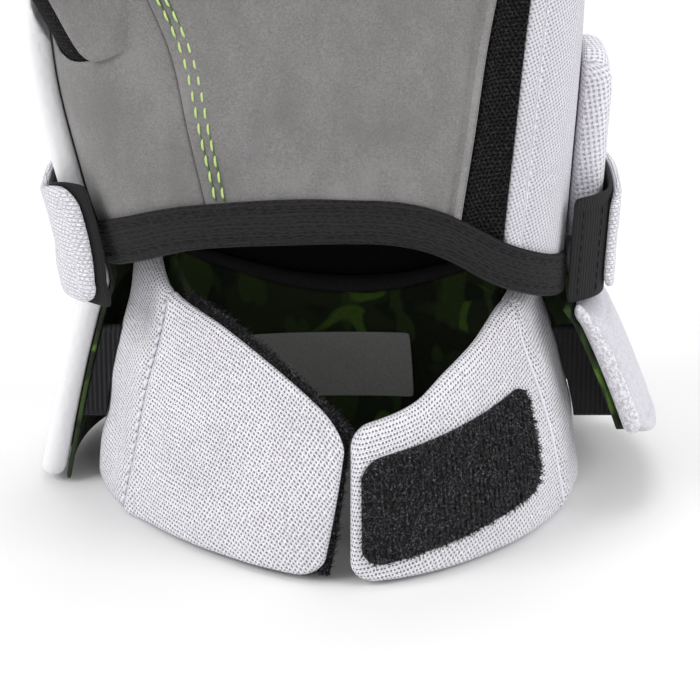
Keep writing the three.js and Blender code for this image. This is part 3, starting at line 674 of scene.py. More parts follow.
def ring_of(shell, inset):
    """The closed path on a layer's face at a distance from its rim, with the way out of it."""
    n, m = shell.inset.shape
    k = int(np.argmin(np.abs(shell.inset[: n // 2, m // 2] - inset)))
    paths = []
    for grid in (shell.face, shell.lift):
        there = (grid[k, k : m - k], grid[k : n - k, m - 1 - k])
        back = (grid[n - 1 - k, k : m - k][::-1], grid[k : n - k, k][::-1])
        paths.append(np.concatenate(there + back))
    path, lift = paths
    apart = np.linalg.norm(np.diff(path, axis=0), axis=1) > 1e-3
    kept = np.concatenate([[True], apart])
    return path[kept], lift[kept]


def spread_out(face):
    """Weave coordinates of a grid by the distance over its face, from its middle."""
    flat = []
    for axis in (0, 1):
        steps = np.linalg.norm(np.diff(face, axis=axis), axis=2)
        along = np.cumsum(steps, axis=axis)
        along = np.concatenate([np.zeros_like(along.take([0], axis)), along], axis)
        flat.append(along - along.take([along.shape[axis] // 2], axis))
    return flat


def closed(face, back, weave):
    """Joins an outer and an inner grid at their shared border."""
    n, m = face.shape[:2]
    ids = np.arange(n * m).reshape(n, m)
    inside = np.zeros((n, m), bool)
    inside[1:-1, 1:-1] = True
    under = ids.copy()
    under[inside] = n * m + np.arange(inside.sum())
    faces = np.concatenate([quads(ids), quads(under)[:, ::-1]])
    points = np.concatenate([face.reshape(-1, 3), back[inside]])
    weave = np.stack(np.broadcast_arrays(*weave), -1)
    return Shell(points, faces, np.concatenate([weave.reshape(-1, 2), weave[inside]]))


def quads(ids):
    corners = (ids[:-1, :-1], ids[1:, :-1], ids[1:, 1:], ids[:-1, 1:])
    return np.stack(corners, -1).reshape(-1, 4)


def ring_tube(surface, turns, rows, inner, outer, weave, height=None):
    """A closed tube between two layers, with flat rims or a closed tip.

    height(turn, row) gives the heights of a row that isn't level."""
    turn, level = np.meshgrid(turns, rows, indexing="ij")
    if height:
        level = height(turn, level)
    face, back = surface(turn, level, outer), surface(turn, level, inner)
    n, m = turn.shape
    loop = np.concatenate([face, back[:, ::-1]], axis=1)
    ids = np.arange(n * 2 * m).reshape(n, 2 * m)
    ids = np.concatenate([ids, ids[:1]], axis=0)
    ids = np.concatenate([ids, ids[:, :1]], axis=1)
    u, v = (np.broadcast_to(w, turn.shape) for w in weave(turn, level))
    u, v = (np.concatenate([w, w[:, ::-1]], axis=1).ravel() for w in (u, v))
    return Shell(loop.reshape(-1, 3), quads(ids), np.stack([u, v], -1))


def tube(path, radius, sides=6, taper=False):
    """A closed round thread along a path. Its ends close on a point."""
    path = np.asarray(path, float)
    along = np.gradient(path, axis=0)
    along /= np.maximum(np.linalg.norm(along, axis=1), 1e-9)[:, None]
    reference = np.array([0.31, 0.52, 0.8])
    side = np.cross(along, reference)
    side /= np.maximum(np.linalg.norm(side, axis=1), 1e-9)[:, None]
    other = np.cross(along, side)
    angles = np.arange(sides) * 2 * math.pi / sides
    swell = np.ones(len(path))
    if taper:
        steps = np.linalg.norm(np.diff(path, axis=0), axis=1)
        along = np.concatenate([[0], np.cumsum(steps)])
        near = np.clip(np.minimum(along, along[-1] - along) / np.max(radius), 0.12, 1)
        swell = np.sqrt(1 - (1 - near) ** 2)
    ring = side[:, None] * np.cos(angles)[:, None] + other[:, None] * np.sin(angles)[:, None]
    points = path[:, None] + ring * (radius * swell)[:, None, None]
    n = len(path)
    ids = np.arange(n * sides).reshape(n, sides)
    ids = np.concatenate([ids, ids[:, :1]], axis=1)
    faces = [list(q) for q in quads(ids)]
    faces += [list(range(sides))[::-1], list(range((n - 1) * sides, n * sides))]
    return Shell(points.reshape(-1, 3), faces, np.zeros((n * sides, 2)))


def joined(shells):
    """Several shells as one."""
    points, weave, faces, start = [], [], [], 0
    for shell in shells:
        points.append(shell.points)
        weave.append(shell.weave)
        faces.extend((np.asarray(f) + start).tolist() for f in shell.faces)
        start += len(shell.points)
    return Shell(np.concatenate(points), faces, np.concatenate(weave))


def mesh_of(name, shell):
    """A shell as a mesh in metres, with its weave coordinates, its faces pointing out."""
    mesh = bpy.data.meshes.new(name)
    faces = [list(map(int, f)) for f in shell.faces]
    mesh.from_pydata(((shell.points + AXIS) / 1000).tolist(), [], faces)
    layer_uv = mesh.uv_layers.new(name="weave")
    corners = np.empty(len(mesh.loops), np.int32)
    mesh.loops.foreach_get("vertex_index", corners)
    layer_uv.data.foreach_set("uv", shell.weave[corners].ravel())
    mesh.polygons.foreach_set("use_smooth", np.ones(len(mesh.polygons), bool))
    tidy(mesh)
    return mesh


def tidy(mesh):
    """Merges corners that meet, drops flat faces and points every face outwards."""
    work = bmesh.new()
    work.from_mesh(mesh)
    bmesh.ops.remove_doubles(work, verts=work.verts, dist=2e-6)
    bmesh.ops.dissolve_degenerate(work, edges=work.edges, dist=1e-6)
    bmesh.ops.recalc_face_normals(work, faces=work.faces)
    work.to_mesh(mesh)
    work.free()


def show(name, shells, finish_name, slot, *nodes, cuts=(), padded=None):
    """Adds one piece of the glove, cut by other shells, in place of its nodes."""
    shells = shells if isinstance(shells, list) else [shells]
    piece = new_piece(f"{name}_finished" if nodes else name, joined(shells), cuts)
    piece.data.materials.clear()
    piece.data.materials.append(finish(finish_name))
    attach(piece, "root")
    if nodes:
        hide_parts(*nodes)
    return piece


def new_piece(name, shell, cuts=()):
    """An object of a shell in the scene, with other shells cut out of it."""
    piece = bpy.data.objects.new(name, mesh_of(name, shell))
    bpy.context.scene.collection.objects.link(piece)
    for cut in cuts:
        carve(piece, cut)
    return piece


def discard(piece):
    """Removes an object and its mesh."""
    spent = piece.data
    bpy.data.objects.remove(piece)
    bpy.data.meshes.remove(spent)


def carve(piece, shell):
    """Cuts the space of a closed shell out of a piece."""
    cutter = new_piece("cutter", shell)
    cut = piece.modifiers.new("cut", "BOOLEAN")
    cut.operation = "DIFFERENCE"
    cut.solver = "EXACT"
    cut.object = cutter
    evaluated = piece.evaluated_get(bpy.context.evaluated_depsgraph_get())
    mesh = bpy.data.meshes.new_from_object(evaluated)
    old = piece.data
    piece.modifiers.clear()
    piece.data = mesh
    bpy.data.meshes.remove(old)
    discard(cutter)
    mesh.polygons.foreach_set("use_smooth", np.ones(len(mesh.polygons), bool))


class Wire:
    """A node socket that takes part in arithmetic."""

    def __init__(self, cloth, socket):
        self.cloth, self.socket = cloth, socket

    def __add__(self, other):
        return self.cloth.math("ADD", self, other)

    def __sub__(self, other):
        return self.cloth.math("SUBTRACT", self, other)

    def __rsub__(self, other):
        return self.cloth.math("SUBTRACT", other, self)

    def __mul__(self, other):
        return self.cloth.math("MULTIPLY", self, other)

    def __truediv__(self, other):
        return self.cloth.math("DIVIDE", self, other)

    __radd__ = __add__
    __rmul__ = __mul__


class Finish:
    """One procedural material, drawn in the weave's own millimetres."""

    def __init__(self, name, roughness, sheen=0.0, specular=0.4, coat=0.0):
        self.material = bpy.data.materials.new(name)
        self.material.use_nodes = True
        self.nodes = self.material.node_tree.nodes
        self.links = self.material.node_tree.links
        self.shader = self.nodes["Principled BSDF"]
        self.shader.inputs["Roughness"].default_value = roughness
        self.shader.inputs["Sheen Weight"].default_value = sheen
        self.shader.inputs["Sheen Roughness"].default_value = 0.5
        self.shader.inputs["Specular IOR Level"].default_value = specular
        self.shader.inputs["Coat Weight"].default_value = coat
        self.shader.inputs["Coat Roughness"].default_value = 0.3

    def node(self, kind, settings=(), inputs=()):
        """A new node with its settings, and a number, colour or wire for each input named."""
        made = self.nodes.new(kind)
        for key, value in dict(settings).items():
            setattr(made, key, value)
        for key, value in dict(inputs).items():
            self.feed(made.inputs[key], value)
        return made

    def feed(self, socket, value):
        if isinstance(value, Wire):
            self.links.new(value.socket, socket)
        else:
            socket.default_value = value

    def math(self, operation, *values):
        made = self.node("ShaderNodeMath", {"operation": operation}, enumerate(values))
        return Wire(self, made.outputs[0])

    def weave(self):
        """The cloth's own coordinates: millimetres along and across."""
        uv = self.node("ShaderNodeUVMap", {"uv_map": "weave"})
        split = self.node("ShaderNodeSeparateXYZ", (), {0: Wire(self, uv.outputs[0])})
        return Wire(self, split.outputs[0]), Wire(self, split.outputs[1])

    def place(self):
        """The point itself, in metres."""
        return Wire(self, self.node("ShaderNodeTexCoord").outputs["Object"])

    def noise(self, size, detail=2.0, roughness=0.5, stretch=(1, 1, 1)):
        """Noise over the object, with features of about size millimetres."""
        inputs = {"Vector": self.place(), "Scale": stretch}
        vector = Wire(self, self.node("ShaderNodeMapping", (), inputs).outputs[0])
        inputs = {"Vector": vector, "Scale": 1000 / size, "Detail": detail, "Roughness": roughness}
        return Wire(self, self.node("ShaderNodeTexNoise", (), inputs).outputs["Fac"])

    def smooth(self, value, low, high, start=0.0, end=1.0):
        """Eases from start to end while a value goes from low to high."""
        inputs = {"Value": value, "From Min": low, "From Max": high, "To Min": start, "To Max": end}
        made = self.node("ShaderNodeMapRange", {"interpolation_type": "SMOOTHSTEP"}, inputs)
        return Wire(self, made.outputs[0])

    def mix(self, share, first, second):
        """A share of the second colour laid over the first."""
        first, second = (v if isinstance(v, Wire) else (*v, 1) for v in (first, second))
        inputs = {"Factor": share, 6: first, 7: second}
        return Wire(self, self.node("ShaderNodeMix", {"data_type": "RGBA"}, inputs).outputs[2])

    def waves(self, value, pitch):
        """Waves from 0 to 1."""
        return self.math("SINE", value * (2 * math.pi / pitch)) * 0.5 + 0.5

    def cell(self, along, across, pitch, stagger=0.5):
        """Distances from the middle of a cell of a staggered grid, from -0.5 to 0.5."""
        row = self.math("FLOOR", across / pitch[1])
        shifted = along / pitch[0] + row * stagger
        dx = self.math("FRACT", shifted) - 0.5
        dy = self.math("FRACT", across / pitch[1]) - 0.5
        return dx, dy

    def finish(self, colour, height=None, depth=0.2):
        """Colours the shader and raises height, from 0 to 1, by depth millimetres."""
        colour = colour if isinstance(colour, Wire) else (*colour, 1)
        self.feed(self.shader.inputs["Base Color"], colour)
        if height is not None:
            inputs = {"Distance": depth / 1000, "Height": height}
            bump = self.node("ShaderNodeBump", (), inputs)
            self.links.new(bump.outputs[0], self.shader.inputs["Normal"])
        return self.material


def toned(colour, share):
    """A colour darker or lighter by a share."""
    return tuple(c * share for c in colour)


def hole_knit(
    name, colour, pitch, hole, shade, depth=0.35, rows=0.0, glint=WHITE, sheen=0.1, gloss=0.2
):
    """A knit with staggered rows of small gaps between looped threads. Its gaps and the furrows
    between its rows are painted darker as painted shade, and its fibres carry a painted highlight
    in the glint colour.
    """
    cloth = Finish(name, 0.85, sheen=sheen, specular=gloss)
    along, across = cloth.weave()
    along = along + cloth.noise(14, 1) * 0.9 + cloth.noise(1.7, 1) * 0.55
    across = across + cloth.noise(9, 2) * 0.9 + cloth.noise(1.9, 1) * 0.5
    dx, dy = cloth.cell(along, across, pitch)
    gap = cloth.math("SQRT", dx * dx * 0.8 + dy * dy * 1.5) + (cloth.noise(0.8, 1) - 0.5) * 0.22
    opening = cloth.smooth(gap, hole, hole * 0.35)
    loop = cloth.waves(dx + dy * 0.6, 1)
    furrow = cloth.smooth(cloth.math("ABSOLUTE", dy), 0.24, 0.5)
    fibre = cloth.noise(0.5, 3, 0.75)
    height = 0.6 - furrow * 0.35 + loop * 0.2 + fibre * 0.5 - opening
    worn = cloth.mix(cloth.smooth(cloth.noise(30, 3), 0.35, 0.7), colour, toned(colour, 0.9))
    # Painted highlight: the fibres' tips are painted towards the glint colour.
    lighter = cloth.mix(cloth.smooth(fibre, 0.46, 0.64) * 0.8, worn, glint)
    darker = cloth.mix(cloth.smooth(fibre, 0.5, 0.34) * 0.4, lighter, toned(colour, 0.6))
    # Painted shade: the loops are painted darker where they dip into the furrows between rows, and
    # rows adds more painted shade there while it deepens the furrows.
    looped = cloth.mix(loop * furrow * 0.35, darker, toned(colour, 0.55))
    looped = cloth.mix(furrow * rows, looped, toned(colour, 0.45))
    # Painted shade: the openings are painted at the shade share of the colour.
    tone = cloth.mix(opening, looped, toned(colour, shade))
    return cloth.finish(tone, height - furrow * rows, depth)


def woven_mesh(name, colour, pitch, thread, shade, depth, slope):
    """An over-and-under weave with open cells."""
    cloth = Finish(name, 0.85, sheen=0.12, specular=0.2)
    along, across = cloth.weave()
    along = along + across * slope + cloth.noise(16, 1) * 0.6 + cloth.noise(1.8, 1) * 0.45
    across = across - along * slope + cloth.noise(12, 1) * 0.6 + cloth.noise(2.1, 1) * 0.4
    dx, dy = cloth.cell(along, across, pitch, 0.0)
    warp = cloth.smooth(cloth.math("ABSOLUTE", dx), thread, thread * 0.55)
    weft = cloth.smooth(cloth.math("ABSOLUTE", dy), thread, thread * 0.55)
    lengthwise = cloth.math("SINE", along * (math.pi / pitch[0]))
    over = lengthwise * cloth.math("SINE", across * (math.pi / pitch[1]))
    height = cloth.math("MAXIMUM", warp * (over * 0.25 + 0.75), weft * (0.75 - over * 0.25))
    fibre = cloth.noise(0.45, 2, 0.6)
    # Painted shade: the cells and the threads where they dip are painted at the shade share of the
    # colour.
    tone = cloth.mix(height, toned(colour, shade), colour)
    bright = tuple(min(c, 1) for c in toned(colour, 1.25))
    tone = cloth.mix(cloth.smooth(fibre, 0.52, 0.7) * 0.5, tone, bright)
    worn = cloth.smooth(cloth.noise(25, 3), 0.4, 0.75) * 0.25
    tone = cloth.mix(worn, tone, toned(colour, 0.7))
    return cloth.finish(tone, height + fibre * 0.2, depth)


def ribbed_tape(name, colour, pitch, direction="across", depth=0.25, dash=0.0):
    """Narrow-woven tape with ribs whose crests are painted lighter as painted highlight, and uneven
    dashes between them if asked.
    """
    cloth = Finish(name, 0.75, sheen=0.03, specular=0.25)
    along, across = cloth.weave()
    run, rib = (along, across) if direction == "across" else (across, along)
    wander = 1.7 if dash else 0.3
    wave = cloth.waves(rib + cloth.noise(3, 2) * wander, pitch)
    fibre = cloth.noise(0.5, 3, 0.7)
    # Painted highlight: the ribs' crests are painted up to 2.6 times lighter.
    light = toned(colour, 2.6)
    height = wave * 0.7 + fibre * 0.5
    tone = cloth.mix(wave * fibre, colour, light)
    if dash:
        run, rib = run + cloth.noise(3, 2) * 4, rib + cloth.noise(4, 2) * 1.2
        dx, dy = cloth.cell(run, rib, (dash, pitch * 1.5), 0.37)
        mark = cloth.smooth(cloth.math("ABSOLUTE", dx), 0.36, 0.2)
        mark = mark * cloth.smooth(cloth.math("ABSOLUTE", dy), 0.27, 0.1)
        mark = mark * cloth.smooth(cloth.noise(1.6, 2), 0.32, 0.5)
        tone = cloth.mix(mark * 0.9, tone, toned(colour, 0.2))
        height = height - mark * 0.6
    return cloth.finish(tone, height, depth)


def suede(name, colour):
    """Suede with a short nap, brushed into paler and darker clouds."""
    hide = Finish(name, 0.95, sheen=0.2, specular=0.12)
    nap = hide.noise(0.5, 4, 0.75)
    clouds = hide.noise(16, 5, 0.62, (1, 1, 0.6))
    pale, dark = toned(colour, 1.24), toned(colour, 0.72)
    tone = hide.mix(hide.smooth(nap, 0.3, 0.7), toned(colour, 0.76), pale)
    tone = hide.mix(hide.smooth(clouds, 0.42, 0.68) * 0.55, tone, dark)
    tone = hide.mix(hide.smooth(clouds, 0.48, 0.32) * 0.5, tone, pale)
    return hide.finish(tone, nap + hide.noise(4, 3) * 0.7, 0.14)


def leather(name, colour):
    """Smooth coated leather with a fine pebble grain."""
    hide = Finish(name, 0.42, specular=0.4, coat=0.06)
    inputs = {"Scale": 1000 / 1.5, "Vector": hide.place()}
    grain = hide.node("ShaderNodeTexVoronoi", {"feature": "SMOOTH_F1"}, inputs)
    pebble = Wire(hide, grain.outputs["Distance"])
    creases = hide.noise(7, 4, 0.6)
    clouds = hide.smooth(hide.noise(35, 3), 0.4, 0.75) * 0.5
    tone = hide.mix(clouds, colour, toned(colour, 0.93))
    tone = hide.mix(hide.smooth(creases, 0.6, 0.8) * 0.3, tone, toned(colour, 0.85))
    roughness = hide.smooth(hide.noise(6, 3), 0.3, 0.7, 0.36, 0.52)
    hide.feed(hide.shader.inputs["Roughness"], roughness)
    return hide.finish(tone, pebble * 0.8 + creases * 0.9, 0.22)


def camouflage(name, dark, mid, bright):
    """A lining with irregular dark green patches and a few thin bright arcs on near black."""
    cloth = Finish(name, 0.9, sheen=0.03, specular=0.2)
    shapes = cloth.noise(15, 1.5, 0.4, (0.7, 0.7, 1.4))
    streaks = cloth.noise(11, 1, 0.4, (1.5, 1.5, 0.5))
    tone = cloth.mix(cloth.smooth(shapes, 0.44, 0.5), (0.015, 0.019, 0.012), dark)
    tone = cloth.mix(cloth.smooth(streaks, 0.55, 0.6), tone, mid)
    bend = cloth.math("ABSOLUTE", cloth.noise(24, 1, 0.3, (1, 1, 0.7)) - 0.5)
    arcs = cloth.smooth(bend, 0.026, 0.012) * cloth.smooth(shapes, 0.46, 0.52)
    tone = cloth.mix(arcs, tone, bright)
    fibre = cloth.noise(0.6, 2)
    tone = cloth.mix(cloth.smooth(fibre, 0.35, 0.7) * 0.4, tone, dark)
    return cloth.finish(tone, fibre, 0.15)


def fastener_cloth(name, colour):
    """Black fastener cloth: a dark bed full of small fibres with painted glints, a painted
    highlight, in faint upright ribs.
    """
    cloth = Finish(name, 0.55, specular=0.3)
    along, _ = cloth.weave()
    rib = cloth.waves(along + cloth.noise(4, 1), 1.2)
    fibre = cloth.noise(0.62, 3, 0.8)
    bed = cloth.smooth(fibre, 0.42, 0.56)
    tone = cloth.mix(bed, toned(colour, 0.25), toned(colour, 1.6))
    # Painted highlight: glints on the fibres, strongest on the ribs, painted 38 times brighter than
    # the black.
    glint = cloth.smooth(fibre, 0.55, 0.63) * (rib * 0.7 + 0.3)
    tone = cloth.mix(glint, tone, toned(colour, 38))
    return cloth.finish(tone, rib * 0.5 + fibre, 0.4)


def plain_cloth(name, colour, grain=0.6, depth=0.15, roughness=0.85, sheen=0.03):
    cloth = Finish(name, roughness, sheen=sheen, specular=0.25)
    fibre = cloth.noise(grain, 3, 0.65)
    tone = cloth.mix(fibre, toned(colour, 0.6), toned(colour, 1.3))
    return cloth.finish(tone, fibre, depth)


def terry(name, colour):
    """A crinkled white cloth, painted darker in the hollows of its crinkle as painted shade, with
    raised threads painted white as painted highlight.
    """
    cloth = Finish(name, 0.6, sheen=0.1, specular=0.35)
    crinkle = cloth.noise(0.95, 3, 0.7)
    fibre = cloth.noise(0.5, 3, 0.75)
    # Painted shade: darker where the crinkle dips.
    tone = cloth.mix(cloth.smooth(crinkle, 0.4, 0.6), toned(colour, 0.62), colour)
    # Painted highlight: the raised threads are painted white.
    tone = cloth.mix(cloth.smooth(fibre, 0.5, 0.62) * 0.6, tone, WHITE)
    return cloth.finish(tone, crinkle + fibre * 0.4, 0.8)


def pick(name):
    """A colour of the panel, as three numbers."""
    return tuple(getattr(bpy.context.scene.glove_colours, name))


FINISHES = {}


def finish(name):
    """A finish by name, made when it is first asked for."""
    if name not in FINISHES:
        FINISHES[name] = make_finish(name)
    return FINISHES[name]


def make_finish(name):
    """A finish from its maker, its colours, and the sizes of its weave or grain."""
    sizes = bpy.context.scene.glove_sizes
    row, step = sizes.knit_row * 1000, sizes.knit_hole * 1000
    black, white, hide = pick("black"), pick("white_knit"), pick("suede")
    # Painted highlight: the black mesh's fibre tips are painted this grey.
    glint = (0.05, 0.05, 0.052)
    greens = [pick(green) for green in ("dark_green", "mid_green", "bright_green")]
    recipes = {
        "suede": (suede, hide),
        # Painted highlight: the suede's rolled edge is painted 1.2 times lighter than the suede.
        "suede_edge": (suede, toned(hide, 1.2)),
        "cuff_knit": (hole_knit, white, (step, row), 0.36, 0.22),
        # The band's knit: rows 0.42 adds painted shade in the furrows between its rows.
        "band_knit": (hole_knit, white, (step * 1.2, row), 0.2, 0.6, 0.35, 0.42),
        "side_mesh": (woven_mesh, toned(white, 0.84), (0.95, 0.95), 0.4, 0.42, 0.3, 0.35),
        "coarse_mesh": (woven_mesh, toned(white, 0.97), (1.34, 1.34), 0.4, 0.55, 0.45, 0.2),
        "black_mesh": (hole_knit, toned(black, 0.7), (1.2, 1.1), 0.46, 0, 0.6, 0, glint, 0.01, 0.1),
        "binding": (ribbed_tape, black, 0.9, "across", 0.25, 2.2),
        "webbing": (ribbed_tape, black, 0.8, "along", 0.2),
        "elastic": (ribbed_tape, toned(black, 1.3), 1.25, "along", 0.4),
        "leather": (leather, pick("white_leather")),
        # The little finger side's plate is lilac white cloth; its darkness, 0.72 of the knit's
        # white, is painted shade.
        "plate_cloth": (plain_cloth, toned(white, 0.72), 0.7, 0.08),
        "terry": (terry, white),
        "lining": (plain_cloth, black, 0.9, 0.3),
        # Painted shade: the rim's dark grey cloth, five times the black, over the white knit's rim.
        "rim_cloth": (plain_cloth, toned(black, 5), 0.9, 0.3),
        "fuzz": (fastener_cloth, black),
        "print": (camouflage, *greens),
        "label": (plain_cloth, pick("label"), 0.7, 0.1),
        "lime": (plain_cloth, pick("lime"), 0.3, 0.05, 0.6),
        # Painted shade between the lime stitches, in the dark cord's colour.
        "dark_thread": (plain_cloth, pick("lime_shade_colour"), 0.3, 0.05, 0.6),
        "white_thread": (plain_cloth, white, 0.3, 0.05, 0.6),
        "grey_thread": (plain_cloth, toned(white, 0.35), 0.3, 0.05, 0.6),
        "black_thread": (plain_cloth, black, 0.3, 0.05, 0.6),
    }
    maker, *values = recipes[name]
    return maker(name, *values)


def hand_weave(turn, z):
    return HAND_GIRTH.length(turn), z


def stall_weave(stall):
    return lambda turn, q: (np.radians(turn) * stall.wide[0] * 1.2, q * stall.straight)


def fill_of(surface, rows, out, columns=96):
    """The solid inside a tubular surface, for cutting."""
    turns = np.arange(columns) * 360 / columns
    turn, row = np.meshgrid(turns, rows, indexing="ij")
    face = surface(turn, row, out)
    n, m = turn.shape
    low, high = face[:, 0].mean(0), face[:, -1].mean(0)
    points = np.concatenate([face.reshape(-1, 3), [low, high]])
    ids = np.arange(n * m).reshape(n, m)
    ids = np.concatenate([ids, ids[:1]], axis=0)
    faces = quads(ids).tolist()
    for i in range(n):
        faces.append([n * m, int(ids[i + 1, 0]), int(ids[i, 0])])
        faces.append([n * m + 1, int(ids[i, m - 1]), int(ids[i + 1, m - 1])])
    return Shell(points, faces, np.zeros((len(points), 2)))


TIP_ROWS = np.linspace(0, 1, 22)
TIP_ROWS = np.append(TIP_ROWS, 1 + np.sin(np.linspace(0, math.pi / 2, 9)[1:]) ** 0.8)


def thumb_space(out):
    return fill_of(STALLS["thumb"].point, TIP_ROWS[:-1].tolist() + [1.999], out)


def hand_space(out):
    return fill_of(hand, np.linspace(30, KNUCKLE_HEIGHT, 60), out, 160)


def between(start, end):
    """An area of the hand from its hem to the knuckles, between two seams."""
    return patch(HAND_GIRTH, start, end, hem, KNUCKLE_HEIGHT)


def hand_panel(area, outer=SKIN_OUT, rim=SKIN_RIM, **look):
    return layer(hand, area, SKIN_IN, outer, rim, weave=hand_weave, **look)


def stall_panel(stall, turns, rows, corner, seed):
    area = stall_patch(stall, turns, rows)
    return layer(stall.point, area, SKIN_IN, SKIN_OUT, SKIN_RIM, corner, relief=stall_relief(seed))


def stitches(path, lift, length, gap, radius, slant=0.0):
    """Separate stitches along a path, which dip into the cloth at their ends.

    lift holds the way out of the cloth, and slant turns each stitch a little across its row."""
    along = np.concatenate([[0], np.cumsum(np.linalg.norm(np.diff(path, axis=0), axis=1))])
    count = 5
    rise = (np.sin(np.linspace(0, math.pi, count)) ** 0.5 - 0.35) * radius
    lean = np.linspace(-slant, slant, count)
    made, start = [], gap / 2
    while start + length < along[-1]:
        at = np.linspace(start, start + length, count)
        points, out = (
            np.stack([np.interp(at, along, field[:, k]) for k in range(3)], -1)
            for field in (path, lift)
        )
        across = np.cross(points[-1] - points[0], out[0])
        across /= np.linalg.norm(across)
        points = points + out * rise[:, None] + across * lean[:, None]
        made.append(tube(points, radius, 6, taper=True))
        start += length + gap
    return made


def seam_path(surface, turns, heights, out):
    """A path on a surface, with the way out of the cloth at each of its points."""
    path = surface(turns, heights, out)
    return path, surface(turns, heights, out + 1) - path


def stitch_row(surface, turns, heights, out, thread):
    """A row of stitches along a path on a surface."""
    return stitches(*seam_path(surface, turns, heights, out), *thread)


def beside(seam, heights, distance):
    """Degrees round along a seam of the hand, at a distance from it."""
    return HAND_GIRTH.turn(HAND_GIRTH.length(seam(heights)) + distance)


def suede_relief(width=None):
    """The suede's soft lie, with a rolled edge at its far side where its width is given."""

    def relief(turn, z, x, y, inset):
        soft = waves(hand(turn, z, 0), 46, 11, 0.5) * fade(inset, 6)
        if width is None:
            return soft
        d = width / 2 - x
        return soft + (0.7 * bulge(d, 1.4, 1.2) - 0.9 * bulge(d, 3.4, 0.8))

    return relief


def build_hand():
    """The lining, the suede of the palm and thumb, the black mesh and the white mesh."""
    thumb_hole, under = thumb_space(GAP), hand_space(GAP)

    def height(turn, share):
        return lerp(hem(turn), KNUCKLE_HEIGHT, share)

    turns, shares = np.arange(0, 360, 2.5), np.linspace(0, 1, 44)
    lining = ring_tube(hand, turns, shares, -LINING, 0, hand_weave, height)
    cuts = [thumb_space(-STALL)]
    show("hand_lining", lining, "lining", "hand_cloth", "hand_lining", cuts=cuts)

    thumb_seam, suede_seam, gusset_seam = (palm_turn(s) for s in ("thumb", "suede", "gusset"))
    side = hand_panel(between(THUMB_SEAM_BACK, thumb_seam), relief=suede_relief())
    panel = show("thumb_panel", side, "suede", "suede", "thumb_panel", cuts=[thumb_hole])
    add_to(panel, stall_panel(STALLS["thumb"], *THUMB_SUEDE, 3, 21), [under])

    area = between(thumb_seam, suede_seam)
    palm = hand_panel(area, SKIN_OUT + 0.4, 0.9, relief=suede_relief(area[1][0]))
    panel = show("palm_panel", palm, "suede", "suede", "palm_panel", cuts=[thumb_hole])
    for i, name in enumerate(FINGERS):
        add_to(panel, stall_panel(STALLS[name], *FINGER_SUEDE, 4, 30 + i), [under])

    gusset = hand_panel(between(suede_seam, gusset_seam), relief=gusset_relief)
    show("side_gusset", gusset, "black_mesh", "black_mesh", "side_gusset")
    side = hand_panel(between(gusset_seam, 360 + SIDE_SEAM_BACK), relief=side_relief)
    show("side_panel", side, "side_mesh", "side_mesh", "side_panel")
    back = hand_panel(between(SIDE_SEAM_BACK, THUMB_SEAM_BACK), step=2.2)
    show("back_panel", back, "side_mesh", "side_mesh", "back_panel", cuts=[thumb_hole])
    build_lime_rows(thumb_seam)
    build_palm_edge(suede_seam, gusset_seam)


def stall_relief(seed):
    def relief(turn, q, x, y, inset):
        folds = np.sin(q * 9.5 + 0.6 * np.sin(np.radians(turn) * 3)) ** 8
        return -0.5 * folds * fade(inset, 4) + 0.25 * np.sin(q * 23 + seed)

    return relief


def gusset_relief(turn, z, x, y, inset):
    """A fold that runs up the black mesh, as it dips between the suede and the side."""
    return -0.8 * fade(inset, 3) + 0.7 * bulge(x, -3.5, 0.7)


def side_relief(turn, z, x, y, inset):
    """The side's turned hem along the gusset, its stitched line and a short crease."""
    d = x - x.min()
    hemmed = 0.5 * (d < SIDE_HEM - 0.3) - 0.5 * bulge(d, SIDE_HEM, 0.5)
    crease = -0.7 * bulge(z - 96 + d * 0.1, 0, 1) * bulge(d, 12, 7)
    return hemmed + crease


def add_to(piece, shell, cuts):
    """Joins another shell into a piece after cutting it."""
    part = new_piece("part", shell, cuts)
    part.data.materials.clear()
    part.data.materials.append(piece.data.materials[0])
    work = bmesh.new()
    work.from_mesh(piece.data)
    work.from_mesh(part.data)
    work.to_mesh(piece.data)
    work.free()
    discard(part)


def build_lime_rows(seam):
    """Two rows of lime stitches beside the thumb seam, over a dark green cord that paints the shade
    between them.
    """
    sizes = bpy.context.scene.glove_sizes
    heights = np.linspace(HEM_HEIGHT + HEM_TAPE - 1, LIME_TOP, 90)
    bright, dark = [], []
    for offset in (sizes.stitch_inset * 1000, (sizes.stitch_inset + sizes.stitch_rows) * 1000):
        path, lift = seam_path(hand, beside(seam, heights, offset), heights, SKIN_OUT + 0.5)
        thread = (sizes.stitch_length * 1000, LIME_GAP, LIME_RADIUS, LIME_LEAN)
        bright += stitches(path, lift, *thread)
        # Painted shade: a dark green cord under each row, which shows between the stitches.
        dark.append(tube(path - lift * 0.22, LIME_CORD, 6))
    show("lime_stitches", bright, "lime", "suede")
    show("lime_stitch_shade", dark, "dark_thread", "suede")


def build_palm_edge(suede_seam, gusset_seam):
    """The suede's rolled edge along the gusset, painted lighter as a painted highlight, and the
    stitched hem of the side.
    """
    heights = np.linspace(HEM_HEIGHT, KNUCKLE_HEIGHT - 3, 120)
    turns = beside(suede_seam, heights, -1.2)
    above = heights > hem(turns) + HEM_TAPE - 2
    turns, heights = turns[above], heights[above]
    path, _ = seam_path(hand, turns, heights, SKIN_OUT - 0.1)
    # Painted highlight: the roll takes a lighter copy of the suede.
    show("palm_edge_roll", tube(path, EDGE_ROLL, 16, taper=True), "suede_edge", "suede")
    turns = beside(gusset_seam, heights, SIDE_HEM)
    row = stitch_row(hand, turns, heights, SKIN_OUT - 0.2, HEM_THREAD)
    show("side_hem_stitches", row, "white_thread", "side_mesh")


PAD_STITCHES = []


